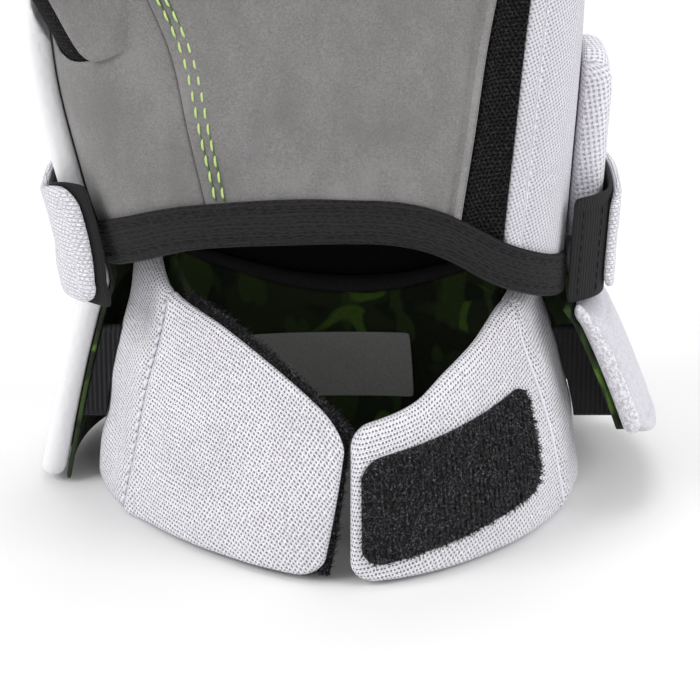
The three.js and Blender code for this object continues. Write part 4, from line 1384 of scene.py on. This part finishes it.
def pad_piece(name, surface, area, thick, slot, **look):
    """A padded plate, with a row of stitches round it where nothing is cut out of it."""
    base = look.pop("base", PAD_IN)
    cuts = look.pop("cuts", ())
    cover = look.pop("cover", "leather")
    look.setdefault("crown", 0.4)
    corner = 0.17 * min(area[1]) * 2
    shell = layer(surface, area, base, base + thick, 1.6, corner, 1.3, **look)
    if cover == "leather" and not cuts:
        PAD_STITCHES.extend(stitches(*ring_of(shell, PAD_GROOVE), *PAD_THREAD))
    show(name, shell, cover, slot, name, cuts=cuts, padded=0.85)


def pad_relief(seed):
    """Soft unevenness and a stitched groove just inside the rim."""

    def relief(turn, z, x, y, inset):
        groove = -1.1 * bulge(inset, PAD_GROOVE, 0.9)
        lie = 0.25 * np.sin(x * 0.21 + seed) * np.sin(y * 0.19 + seed * 1.7)
        return groove + lie * fade(inset, 6)

    return relief


# The hand's pads, by shares of its width or degrees round, and by shares of KNUCKLE_HEIGHT
BACK_COLUMNS = {"thumb_side": (-0.92, -0.39), "middle": (-0.34, 0.34), "little_side": (0.39, 0.92)}
PLATE_FOOT = (FLARE_TOP + PLATE_CLEAR) / KNUCKLE_HEIGHT
BACK_ROWS = {"lower": (PLATE_FOOT, 0.525), "upper": (0.545, 0.735)}
KNUCKLE_UP = (0.755, 0.965)
SIDE_PAD_PLACE = ((-95, -68), (PLATE_FOOT + 0.01, 0.6))
THUMB_PLATE_PLACE = ((69, 102), (PLATE_FOOT, 0.7))


def build_hand_pads():
    """The pads of the back, the knuckles and the two sides."""
    thumb_hole = thumb_space(PAD_IN)
    seed = 1
    for row, up in BACK_ROWS.items():
        for column, across in BACK_COLUMNS.items():
            cuts = [thumb_hole] if column == "thumb_side" else []
            look = {"cuts": cuts, "relief": pad_relief(seed)}
            area = back_patch(across, up)
            pad_piece(f"{row}_pad_{column}", hand, area, PAD, "pad_leather", **look)
            seed += 1
    for i, name in enumerate(FINGERS):
        across = [((2 * n) / len(FINGERS) - 1) for n in (i, i + 1)]
        area = back_patch(((across[0] + 0.03) * 0.96, (across[1] - 0.03) * 0.96), KNUCKLE_UP)
        look = {"relief": pad_relief(seed + i)}
        pad_piece(f"{name}_knuckle_pad", hand, area, KNUCKLE_PAD, "pad_leather", **look)
    look = {"cuts": [thumb_hole], "crown": 0.7}
    area = side_patch(*THUMB_PLATE_PLACE)
    pad_piece("thumb_side_plate", hand, area, PAD, "pad_leather", **look)
    area = side_patch(*SIDE_PAD_PLACE)
    pad_piece("side_pad", hand, area, SIDE_PAD, "coarse_mesh", cover="coarse_mesh")


def side_patch(turns, up):
    """An area of the hand's side, by degrees round and shares of KNUCKLE_HEIGHT."""
    return patch(HAND_GIRTH, *turns, up[0] * KNUCKLE_HEIGHT, up[1] * KNUCKLE_HEIGHT)


# The stalls' pads: rows from 0 at the root to 2 at the tip, degrees to each side of the back, and
# how much of a pad's height goes sideways at the root and at the tip
FINGER_PADS = {"root": (0.05, 0.36), "middle": (0.4, 0.7), "tip": (0.74, 1.6)}
FINGER_PAD_TURN = 62
FINGER_PAD_SIDE = (0.08, 0.4)
THUMB_PADS = {"root": (0.44, 0.62), "middle": (0.65, 0.83), "tip": (0.86, 1.6)}
THUMB_PAD_TURN = 78


def build_stalls():
    """The mesh tubes of the fingers and the thumb, with three pads on each."""
    under = hand_space(GAP)
    for i, (name, stall) in enumerate(STALLS.items()):
        is_thumb = name == "thumb"
        rows = TIP_ROWS.copy()
        rows[0] = GAP / stall.straight
        turns, weave = np.arange(0, 360, 6), stall_weave(stall)
        body = ring_tube(stall.point, turns, rows, -STALL, 0, weave)
        own = f"{name}_stall"
        cuts = [under] if is_thumb else []
        show(own, body, "black_mesh", "black_mesh", own, cuts=cuts)
        pads, reach = (THUMB_PADS, THUMB_PAD_TURN) if is_thumb else (FINGER_PADS, FINGER_PAD_TURN)
        surface = stall.point if is_thumb else widened(stall)
        clear = PAD_IN + PAD + GAP if is_thumb else PAD_IN
        for part, span in pads.items():
            area = stall_patch(stall, (-reach, reach), span)
            cuts = [hand_space(clear)] if part == "root" else []
            look = {"base": GAP, "cuts": cuts, "relief": pad_relief(i * 3.1)}
            pad_piece(f"{name}_pad_{part}", surface, area, FINGER_PAD, "pad_leather", **look)
    show("pad_stitches", PAD_STITCHES, "grey_thread", "pad_leather")


def widened(stall):
    """A finger's surface whose pads grow less sideways than outwards."""

    def surface(turn, q, out):
        return stall.point(turn, q, out, out * lerp(*FINGER_PAD_SIDE, np.minimum(q, 1)))

    return surface


def build_binding():
    """The tape folded round the hem, with a row of stitches near each edge."""
    turns = HAND_GIRTH.turn(np.linspace(*HAND_GIRTH.length(HEM_TAPE_TURNS), 150))
    inside = -LINING - GAP
    outer, inner = PAD_IN + TAPE, inside - TAPE
    middle, reach = (outer + inner) / 2, (outer - inner) / 2
    rise, fold = np.linspace(HEM_TAPE, 0.6, 12), np.linspace(0, math.pi, 9)[1:-1]

    def folded(front, back, reach, drop):
        """One face of the tape: down its front, round the fold and up its back."""
        round_it = middle + reach * np.cos(fold)
        outs = (np.full_like(rise, front), round_it, np.full_like(rise, back))
        return np.concatenate(outs), np.concatenate([rise, -drop * np.sin(fold), rise[::-1]])

    outs, ups = folded(outer, inner, reach, GAP + TAPE)
    under_outs, under_ups = folded(PAD_IN, inside, reach - TAPE, GAP)
    outs, ups = np.append(outs, under_outs[::-1]), np.append(ups, under_ups[::-1])
    turn, k = np.meshgrid(turns, np.arange(len(outs)), indexing="ij")
    wander = 0.25 * np.sin(HAND_GIRTH.length(turn) * 0.13) * (ups[k] > 8)
    points = hand(turn, hem(turn) + ups[k] + wander, outs[k])
    n, m = turn.shape
    ids = np.arange(n * m).reshape(n, m)
    faces = quads(np.concatenate([ids, ids[:, :1]], axis=1)).tolist()
    for row in (0, n - 1):
        for j in range(m // 2 - 1):
            face = [row * m + j, row * m + j + 1, row * m + m - 2 - j, row * m + m - 1 - j]
            faces.append(face if row else face[::-1])
    weave = np.stack([HAND_GIRTH.length(turn), ups[k]], -1).reshape(-1, 2)
    tape = Shell(points.reshape(-1, 3), faces, weave)
    show("palm_binding", tape, "binding", "tape", "palm_binding")
    shells = []
    fine = HAND_GIRTH.turn(np.linspace(*HAND_GIRTH.length(BINDING_ROW_TURNS), 310))
    for up in BINDING_ROWS:
        shells += stitch_row(hand, fine, hem(fine) + up, outer, BINDING_THREAD)
    show("binding_stitches", shells, "black_thread", "tape")


def flap_weave(turn, z):
    """The knit's rows run along the flaps' upper edges."""
    return CUFF_GIRTH.length(turn), z - cuff_top(turn)


def flap_foot(turn):
    """The flaps' lower edge, which lifts off the floor towards the front."""
    turn = np.asarray(turn, float)
    lift = np.where(turn < 180, *FLAP_LIFT)
    return lift * np.clip(1 - np.abs(turn - 180) / FLAP_LIFT_REACH, 0, 1) ** 0.5


def cuff_relief(turn, z, x, y, inset):
    """The soft lie of the cuff's padded wall."""
    return waves(cuff(turn, z, 0), 32, 3, 0.8) * fade(inset, 5)


def build_wrist_cuff():
    """The padded wall with a dark tube round its rim as painted shade, the printed lining, the
    label and the flaps.
    """
    area = patch(CUFF_GIRTH, slant(RIDGE, 0.3), slant(CREASE, -0.3), 0, cuff_top)
    half = area[1][0] / 2

    def thinner(x, y):
        """The wall thins to the flaps' own thickness at its ends."""
        end = ease(np.clip((half - np.abs(x)) / CUFF_THINNING, 0, 1))
        return lerp(np.where(x > 0, FLAP_LEFT, FLAP_RIGHT) / CUFF_PAD, 1, end)

    look = {"weave": flap_weave, "relief": cuff_relief, "taper": thinner}
    body = layer(cuff, area, -CUFF_PAD, 0, 3.2, 0, 1.6, **look)
    show("wrist_cuff", body, "cuff_knit", "cuff_knit", "wrist_cuff", padded=0.8)

    # Painted shade: a dark grey tube over the top of the knit wall's rim, where the rim lies in
    # shade.
    turns = np.linspace(-78, 78, 120)
    path, _ = seam_path(cuff, turns, cuff_top(turns) - CUFF_PAD / 2 + 0.6, -CUFF_PAD / 2)
    edge = tube(path, CUFF_PAD / 2 + 0.35, 20, taper=True)
    show("cuff_rim_painted_shade", edge, "rim_cloth", "cuff_knit")

    cloth = -CUFF_PAD - GAP
    area = patch(CUFF_GIRTH, slant(RIDGE, 1), slant(CREASE, -1), 1, raised(cuff_top, -1.5))
    inner = layer(cuff, area, cloth - LINING, cloth, 0.7, 0, 2.5, weave=flap_weave)
    show("cuff_lining", inner, "print", "printed_lining", "cuff_lining")

    face = cloth - LINING - GAP
    area = patch(CUFF_GIRTH, *LABEL_TURNS, *(share * CUFF_HEIGHT for share in LABEL_HEIGHTS))
    tag = layer(cuff, area, face - LABEL, face, 0.25, 1.0, 1.5)
    show("label", tag, "label", "label", "label")
    build_left_flap()
    build_right_flap()


def build_left_flap():
    """The thumb side's flap, the seams at both ends of the cuff's wall, and the loop cloth."""
    area = patch(CUFF_GIRTH, slant(CREASE), slant(LEFT_TIP), flap_foot, cuff_top)
    look = {"weave": flap_weave, "relief": left_flap_relief}
    flap = layer(cuff, area, -FLAP_LEFT, 0, 1.8, (0.8, 7), 1.2, **look)
    show("flap_left", flap, "cuff_knit", "cuff_knit", "flap_left", padded=0.6)

    heights = np.linspace(1.5, CREASE[2] * CUFF_HEIGHT - 2, 80)
    row = stitch_row(cuff, slant(CREASE)(heights), heights, -0.5, CREASE_THREAD)
    show("crease_stitches", row, "white_thread", "cuff_knit")
    heights = np.linspace(2.5, RIDGE[2] * CUFF_HEIGHT + 4, 80)
    path, _ = seam_path(cuff, slant(RIDGE, -0.6)(heights), heights, -0.15)
    show("ridge_seam", tube(path, RIDGE_CORD, 8, taper=True), "white_thread", "cuff_knit")

    behind = -FLAP_LEFT - GAP
    area = patch(CUFF_GIRTH, slant(CREASE, 4), slant(LEFT_TIP, 2.2), 1, raised(cuff_top, 0.5))
    loop = layer(cuff, area, behind - LOOP, behind, 0.7, 6, 1.5)
    strands = fibres(loop_places(area[0]), behind - LOOP * 0.4, *LOOP_FIBRES)
    show("flap_left_loop", [loop, strands], "fuzz", "loop", "flap_left_loop")


def build_right_flap():
    """The little finger side's flap, with the fastener's patch on its face."""
    area = patch(CUFF_GIRTH, slant(RIGHT_TIP), slant(RIDGE, 360), flap_foot, cuff_top)
    look = {"weave": flap_weave, "relief": right_flap_relief}
    flap = layer(cuff, area, -FLAP_RIGHT, 0, 2.8, (6, 0.8), 1.2, **look)
    show("flap_right", flap, "cuff_knit", "cuff_knit", "flap_right", padded=0.7)

    def place(a, b):
        length = lerp(*CUFF_GIRTH.length(HOOK_TURNS), a)
        share = lerp(lerp(*HOOK_LOW, a), lerp(*HOOK_HIGH, a), b)
        return CUFF_GIRTH.turn(length), share * CUFF_HEIGHT

    wide = np.diff(CUFF_GIRTH.length(HOOK_TURNS))[0]
    area = (place, (wide, (HOOK_HIGH[0] - HOOK_LOW[0]) * CUFF_HEIGHT))
    backing = layer(cuff, area, GAP, GAP + HOOK * 0.6, 0.3, HOOK_CORNER, 1.5)
    strands = fibres(patch_places(*area, HOOK_CORNER), GAP + HOOK * 0.5, *HOOK_FIBRES)
    show("hook_patch", [backing, strands], "fuzz", "hook", "hook_patch")


def left_flap_relief(turn, z, x, y, inset):
    """A soft roll along the crease, and the lie of the padded flap."""
    d = x - x.min()
    return 0.7 * bulge(d, 3.2, 1.6) + waves(cuff(turn, z, 0), 36, 5, 0.6)


def right_flap_relief(turn, z, x, y, inset):
    """A raised seam up the far end, and the lie of the padded flap."""
    d = x.max() - x
    return 0.6 * bulge(d, 1.5, 0.8) + waves(cuff(turn, z, 0), 36, 6, 0.5)


def patch_places(place, size, corner):
    """Random places on a patch with round corners, gathered into upright ribs."""

    def sample(rng, count):
        x = rng.uniform(-0.5, 0.5, count * 2) * size[0]
        y = rng.uniform(-0.5, 0.5, count * 2) * size[1]
        cx = np.clip(x, corner - size[0] / 2, size[0] / 2 - corner)
        cy = np.clip(y, corner - size[1] / 2, size[1] / 2 - corner)
        kept = np.hypot(x - cx, y - cy) < corner
        x, y = x[kept][:count], y[kept][:count]
        rib = np.round(x / 1.5) * 1.5
        x = lerp(x, rib, 0.6)
        return place(x / size[0] + 0.5, y / size[1] + 0.5)

    return sample


def loop_places(place):
    """Random places near the loop cloth's upper edge and its end, where it shows."""

    def sample(rng, count):
        a, b = rng.uniform(0, 1, count), rng.uniform(0, 1, count)
        on_edge = rng.uniform(0, 1, count) < 0.7
        b = np.where(on_edge, 1 - np.abs(rng.normal(0, 0.035, count)), b)
        a = np.where(on_edge, a, 1 - np.abs(rng.normal(0, 0.03, count)))
        return place(np.clip(a, 0, 1), np.clip(b, 0, 1))

    return sample


def fibres(sample, base, length, count, seed, upright=0.0):
    """Short curled fibres that stand on the cuff or point upwards, as one shell."""
    rng = np.random.default_rng(seed)
    turn, z = sample(rng, count)
    count = len(turn)
    root, out = seam_path(cuff, turn, z, base)
    normal = lerp(out, np.array([0, 0, 1.0]), upright)
    normal /= np.linalg.norm(normal, axis=1)[:, None]
    lean = rng.normal(size=(count, 3))
    lean -= (lean * normal).sum(1)[:, None] * normal
    lean /= np.linalg.norm(lean, axis=1)[:, None]
    reach = length * rng.uniform(0.55, 1.1, count)[:, None]
    side = np.cross(normal, lean)
    rings = []
    for i, (share, sideways) in enumerate(((0, 0), (0.4, 0.1), (0.8, 0.4), (0.85, 0.85))):
        centre = root + normal * reach * share + lean * reach * sideways
        radius = 0.13 * (1 - 0.2 * i)
        for angle in np.arange(3) * 2 * math.pi / 3:
            rings.append(centre + (side * math.cos(angle) + lean * math.sin(angle)) * radius)
    places = np.stack(rings, 1)
    ids = np.arange(12).reshape(4, 3)
    ids = np.concatenate([ids, ids[:, :1]], axis=1)
    base_ids = np.arange(count)[:, None, None] * 12
    walls = (quads(ids)[None] + base_ids).reshape(-1, 4).tolist()
    caps = (np.array([[2, 1, 0], [9, 10, 11]])[None] + base_ids).reshape(-1, 3).tolist()
    return Shell(places.reshape(-1, 3), walls + caps, np.zeros((count * 12, 2)))


# Degrees round at the seams between the flared cuff's plates
FLARE_PLATES = {
    "thumb_side": (52, FLARE_EDGES[1]),
    "back_thumb_side": (0, 52),
    "back_little_side": (-52, 0),
    "little_side": (FLARE_EDGES[0], -52),
}


def flare_foot(turn):
    return read(FLARE_FOOT, "low", turn) * FLARE_TOP


def flare_rim(turn):
    return read(FLARE_RIM, "high", turn) * FLARE_TOP


def build_flared_cuff():
    """The padded plates that stand out round the cuff, and the lining behind them."""
    start, end = FLARE_EDGES
    area = patch(FLARE_GIRTH, start + 1, end - 1, flare_foot, flare_rim)
    cloth = layer(flare, area, 0, FLARE_LINING, 0.6, 0, 2.0)
    show("outer_cuff_lining", cloth, "print", "printed_lining", "outer_cuff_lining")
    for i, (place, (start, end)) in enumerate(FLARE_PLATES.items()):
        area = patch(FLARE_GIRTH, start + 0.3, end - 0.3, flare_foot, flare_rim)
        look = {"relief": plate_relief(i)}
        plate = layer(flare, area, PLATE_IN, PLATE_IN + CUFF_PLATE, 2.4, 3.5, 1.5, **look)
        name = f"cuff_plate_{place}"
        # Painted shade: the little finger side's plate takes the darker cloth in place of the
        # leather.
        cover = "plate_cloth" if place == "little_side" else "leather"
        show(name, plate, cover, "plate_leather", name, padded=0.8)
    build_plate_roll()


def build_plate_roll():
    """The puffy roll on the front edge of the little finger side's plate."""
    turn, count, sides, radius = FLARE_EDGES[0] + 1.2, 90, 24, CUFF_PLATE / 2 - 1
    heights = np.linspace(flare_foot(turn) + 0.3, BAND_LOW - 0.5, count)
    out = PLATE_IN + CUFF_PLATE / 2 + 0.3
    path, _ = seam_path(flare, np.full(count, turn), heights, out)
    radii = radius * np.interp(np.arange(count), (0, 55, count - 1), (1.1, 1, 0.5))
    roll = tube(path, radii, sides, taper=True)
    angle = np.tile(np.arange(sides) * 2 * math.pi / sides * radius, count)
    roll.weave = np.stack([angle, np.repeat(heights, sides)], -1)
    show("cuff_plate_roll", roll, "terry", "plate_leather", padded=0.6)


def plate_relief(seed):
    """A stitched groove just inside the rim, and a soft face."""

    def relief(turn, z, x, y, inset):
        groove = -1.1 * bulge(inset, PLATE_GROOVE, 0.8)
        soft = 0.35 * np.sin(x * 0.12 + seed) * np.sin(y * 0.15 + seed * 2.1)
        return groove + soft * fade(inset, 6)

    return relief


def build_straps():
    """Ribbed straps that cross straight from the wrist cuff to the flared cuff."""
    heights = np.linspace(STRAP_LOW, STRAP_HIGH, 40)
    shares = np.linspace(0, 1, 60)[:, None]
    for name, turns in STRAP_TURNS.items():
        fine = np.linspace(*turns, 200)
        ends = []
        for surface, out in ((cuff, GAP), (flare, -GAP)):
            row = []
            for z in heights:
                points = surface(fine, np.full_like(fine, z), out)
                order = np.argsort(points[:, 1])
                row.append(np.interp(STRAP_Y, points[order, 1], points[order, 0]))
            ends.append(np.array(row))
        x = ends[0][None] + (ends[1] - ends[0])[None] * shares
        z = np.broadcast_to(heights, x.shape)
        distance = x - ends[0].mean()
        rib = STRAP_RIB * np.sin(distance * 2 * math.pi / STRAP_PITCH)
        selvage = np.minimum(z - STRAP_LOW, STRAP_HIGH - z) < 1.6
        rise = np.where(selvage, STRAP_RIB, rib)
        face = vectors(x, STRAP_Y - STRAP / 2 - rise, z)
        back = vectors(x, STRAP_Y + STRAP / 2 + rise, z)
        middle = vectors(x, STRAP_Y + 0 * x, z)
        for side in (face, back):
            for rim in ((0,), (-1,), (slice(None), 0), (slice(None), -1)):
                side[rim] = middle[rim]
        show(name, closed(face, back, (distance, z)), "elastic", "elastic", name)


def band_weave(turn, z):
    return BAND_GIRTH.length(turn), z


def band_edge(height, rise):
    """An edge of the band, which rises towards its front end."""

    start, end = BAND_RISE_TURNS

    def edge(turn):
        share = np.clip((np.asarray(turn, float) - start) / (end - start), 0, 1)
        return height + rise * ease(share)

    return edge


def build_wrist_band():
    """The knit band over its black lining, whose end shows as a stitched tab."""
    low, high = band_edge(BAND_LOW, BAND_RISE[0]), band_edge(BAND_HIGH, BAND_RISE[1])
    start, end = BAND_LINING_ENDS
    area = patch(BAND_GIRTH, start, end - 3, low, high)
    look = {"weave": band_weave, "relief": tab_relief}
    lining = layer(band, area, 0, TAPE, 0.45, 1.5, 1.5, **look)
    show("band_lining", lining, "webbing", "webbing", "band_lining")
    area = patch(BAND_GIRTH, *BAND_ENDS, raised(low, 0.7), raised(high, -0.7))
    look = {"weave": band_weave, "relief": band_relief}
    knit = layer(band, area, TAPE + GAP, TAPE + GAP + BAND, 1.1, 5, 1.5, **look)
    show("wrist_band", knit, "band_knit", "band_knit", "wrist_band", padded=0.6)

    heights = np.linspace(BAND_LOW + 1.5, BAND_HIGH - 1.5, 60)
    shells = []
    for inset in TAB_ROWS:
        turn = BAND_GIRTH.turn(BAND_GIRTH.length(start) + inset)
        shells += stitch_row(band, np.full(60, turn), heights, TAPE + 0.05, TAB_THREAD)
    show("tab_stitches", shells, "black_thread", "webbing")


def tab_relief(turn, z, x, y, inset):
    """The black tab's folded seam near its top and the row of stitches near its end."""
    d = x - x.min()
    return 0.25 * bulge(d, 2.5, 0.5) - 0.3 * bulge(BAND_HIGH - z, 3.4, 0.5)


def band_relief(turn, z, x, y, inset):
    """A rolled inner edge at the front end, and a padded face."""
    d = x.max() - x
    roll = 0.6 * bulge(d, 2.2, 1.2) - 0.5 * bulge(d, 4.6, 0.7)
    return roll + waves(band(turn, z, 0), 30, 9, 0.5) * fade(inset, 5)


def build_stage():
    """A pale floor, even light from all round, three soft lamps and a long lens."""
    scene = bpy.context.scene
    floor = bpy.data.meshes.new("floor")
    reach = FLOOR_REACH
    corners = [(-reach, -reach, 0), (reach, -reach, 0), (reach, reach, 0), (-reach, reach, 0)]
    floor.from_pydata(corners, [], [(0, 1, 2, 3)])
    ground = bpy.data.objects.new("floor", floor)
    scene.collection.objects.link(ground)
    ground.data.materials.append(Finish("floor", 0.6, specular=0.1).finish(pick("floor")))

    world = bpy.data.worlds.new("studio")
    world.use_nodes = True
    background = world.node_tree.nodes["Background"]
    background.inputs["Color"].default_value = (*WHITE, 1)
    background.inputs["Strength"].default_value = WORLD_LIGHT
    scene.world = world
    scene.view_settings.view_transform = "Standard"
    aim = Vector(AXIS / 1000 + AIM)
    for name, (place, watts, size) in LAMPS.items():
        data = bpy.data.lights.new(name, "AREA")
        data.energy, data.size = watts, size
        aimed(name, data, Vector(place), aim)

    data = bpy.data.cameras.new("camera")
    data.lens, data.sensor_width = LENS, SENSOR
    data.clip_start, data.clip_end = 0.05, 50
    tilt = math.radians(TILT)
    back = Vector((0, -math.cos(tilt), math.sin(tilt))) * DISTANCE
    scene.camera = aimed("camera", data, aim + back, aim)


def aimed(name, data, place, aim):
    """A lamp or camera at a place, turned towards another."""
    made = bpy.data.objects.new(name, data)
    made.location = place
    made.rotation_euler = (aim - place).to_track_quat("-Z", "Y").to_euler()
    bpy.context.scene.collection.objects.link(made)
    return made


def length_size(name, default, description):
    return bpy.props.FloatProperty(
        name=name, description=description, default=default, min=0, unit="LENGTH", precision=5
    )


def shade(name, default, description):
    return bpy.props.FloatVectorProperty(
        name=name, description=description, default=default, subtype="COLOR", size=3, min=0, max=1
    )


class GloveSizes(bpy.types.PropertyGroup):
    """Sizes of the knit and of the palm's stitches"""

    knit_row: length_size("Knit rows", 0.00112, "Distance between the knit's rows of holes")
    knit_hole: length_size("Knit holes", 0.00092, "Distance between the holes of one row")
    stitch_length: length_size("Lime stitch", 0.003, "Length of one lime stitch")
    stitch_inset: length_size("Stitch inset", 0.0033, "From the thumb seam to the first row")
    stitch_rows: length_size("Stitch rows", 0.0022, "Between the two rows of lime stitches")


class GloveColours(bpy.types.PropertyGroup):
    """Colours of the cloth, the leather, the threads and the floor"""

    suede: shade("Suede", (0.2, 0.195, 0.193), "The palm's suede")
    white_knit: shade("White knit", (0.83, 0.81, 0.88), "Knit and mesh of the cuff and the side")
    white_leather: shade("White leather", (0.8, 0.8, 0.815), "Coated leather of the pads")
    black: shade("Black", (0.0085, 0.008, 0.009), "Tape, webbing, elastic and black mesh")
    lime: shade("Lime", (0.5, 0.66, 0.24), "The palm's stitches")
    # Painted shade: the colour of the dark cord that shows between the palm's lime stitches.
    lime_shade_colour: shade("Dark lime", (0.06, 0.12, 0.03), "The thread between the palm's stitches")
    dark_green: shade("Dark green", (0.027, 0.04, 0.018), "The lining's dark shapes")
    mid_green: shade("Mid green", (0.045, 0.078, 0.022), "The lining's middle shapes")
    bright_green: shade("Bright green", (0.1, 0.2, 0.03), "The lining's small bright shapes")
    label: shade("Label", (0.5, 0.5, 0.49), "The bare label in the cuff")
    floor: shade("Floor", (0.8, 0.8, 0.8), "The floor of the studio")


class GLOVE_OT_hand(bpy.types.Operator):
    """Build the lining, the suede palm, the gusset, the side and the back of the hand"""

    bl_idname = "glove.hand"
    bl_label = "Hand"
    bl_options = {"REGISTER", "UNDO"}

    def execute(self, context):
        build_hand()
        return {"FINISHED"}


class GLOVE_OT_binding(bpy.types.Operator):
    """Build the tape that binds the palm's hem"""

    bl_idname = "glove.binding"
    bl_label = "Palm binding"
    bl_options = {"REGISTER", "UNDO"}

    def execute(self, context):
        build_binding()
        return {"FINISHED"}


class GLOVE_OT_hand_pads(bpy.types.Operator):
    """Build the padded plates of the hand"""

    bl_idname = "glove.hand_pads"
    bl_label = "Hand pads"
    bl_options = {"REGISTER", "UNDO"}

    def execute(self, context):
        build_hand_pads()
        return {"FINISHED"}


class GLOVE_OT_stalls(bpy.types.Operator):
    """Build the finger and thumb stalls with their pads"""

    bl_idname = "glove.stalls"
    bl_label = "Fingers and thumb"
    bl_options = {"REGISTER", "UNDO"}

    def execute(self, context):
        build_stalls()
        return {"FINISHED"}


class GLOVE_OT_wrist_cuff(bpy.types.Operator):
    """Build the wrist cuff with its flaps, fastener patch, lining and label"""

    bl_idname = "glove.wrist_cuff"
    bl_label = "Wrist cuff"
    bl_options = {"REGISTER", "UNDO"}

    def execute(self, context):
        build_wrist_cuff()
        return {"FINISHED"}


class GLOVE_OT_flared_cuff(bpy.types.Operator):
    """Build the plates and lining of the flared cuff"""

    bl_idname = "glove.flared_cuff"
    bl_label = "Flared cuff"
    bl_options = {"REGISTER", "UNDO"}

    def execute(self, context):
        build_flared_cuff()
        return {"FINISHED"}


class GLOVE_OT_straps(bpy.types.Operator):
    """Build the elastic straps between the two cuffs"""

    bl_idname = "glove.straps"
    bl_label = "Elastic straps"
    bl_options = {"REGISTER", "UNDO"}

    def execute(self, context):
        build_straps()
        return {"FINISHED"}


class GLOVE_OT_wrist_band(bpy.types.Operator):
    """Build the padded band round the wrist"""

    bl_idname = "glove.wrist_band"
    bl_label = "Wrist band"
    bl_options = {"REGISTER", "UNDO"}

    def execute(self, context):
        build_wrist_band()
        return {"FINISHED"}


class GLOVE_OT_stage(bpy.types.Operator):
    """Build the floor, the lights and the camera"""

    bl_idname = "glove.stage"
    bl_label = "Stage"
    bl_options = {"REGISTER", "UNDO"}

    def execute(self, context):
        build_stage()
        return {"FINISHED"}


OPERATORS = (
    GLOVE_OT_hand,
    GLOVE_OT_binding,
    GLOVE_OT_hand_pads,
    GLOVE_OT_stalls,
    GLOVE_OT_wrist_cuff,
    GLOVE_OT_flared_cuff,
    GLOVE_OT_straps,
    GLOVE_OT_wrist_band,
    GLOVE_OT_stage,
)


class GLOVE_PT_panel(bpy.types.Panel):
    """The glove's sizes, colours and pieces"""

    bl_label = "Padded glove"
    bl_idname = "GLOVE_PT_panel"
    bl_space_type = "VIEW_3D"
    bl_region_type = "UI"
    bl_category = "Glove"

    def draw(self, context):
        for settings in (context.scene.glove_sizes, context.scene.glove_colours):
            box = self.layout.box()
            for name in settings.__annotations__:
                box.prop(settings, name)
        for operator in OPERATORS:
            self.layout.operator(operator.bl_idname)


CLASSES = (GloveSizes, GloveColours, *OPERATORS, GLOVE_PT_panel)


def register():
    for cls in CLASSES:
        bpy.utils.register_class(cls)
    bpy.types.Scene.glove_sizes = bpy.props.PointerProperty(type=GloveSizes)
    bpy.types.Scene.glove_colours = bpy.props.PointerProperty(type=GloveColours)


def unregister():
    del bpy.types.Scene.glove_colours
    del bpy.types.Scene.glove_sizes
    for cls in reversed(CLASSES):
        bpy.utils.unregister_class(cls)


def main():
    register()
    for operator in OPERATORS:
        group, name = operator.bl_idname.split(".")
        getattr(getattr(bpy.ops, group), name)()


if __name__ == "__main__":
    main()
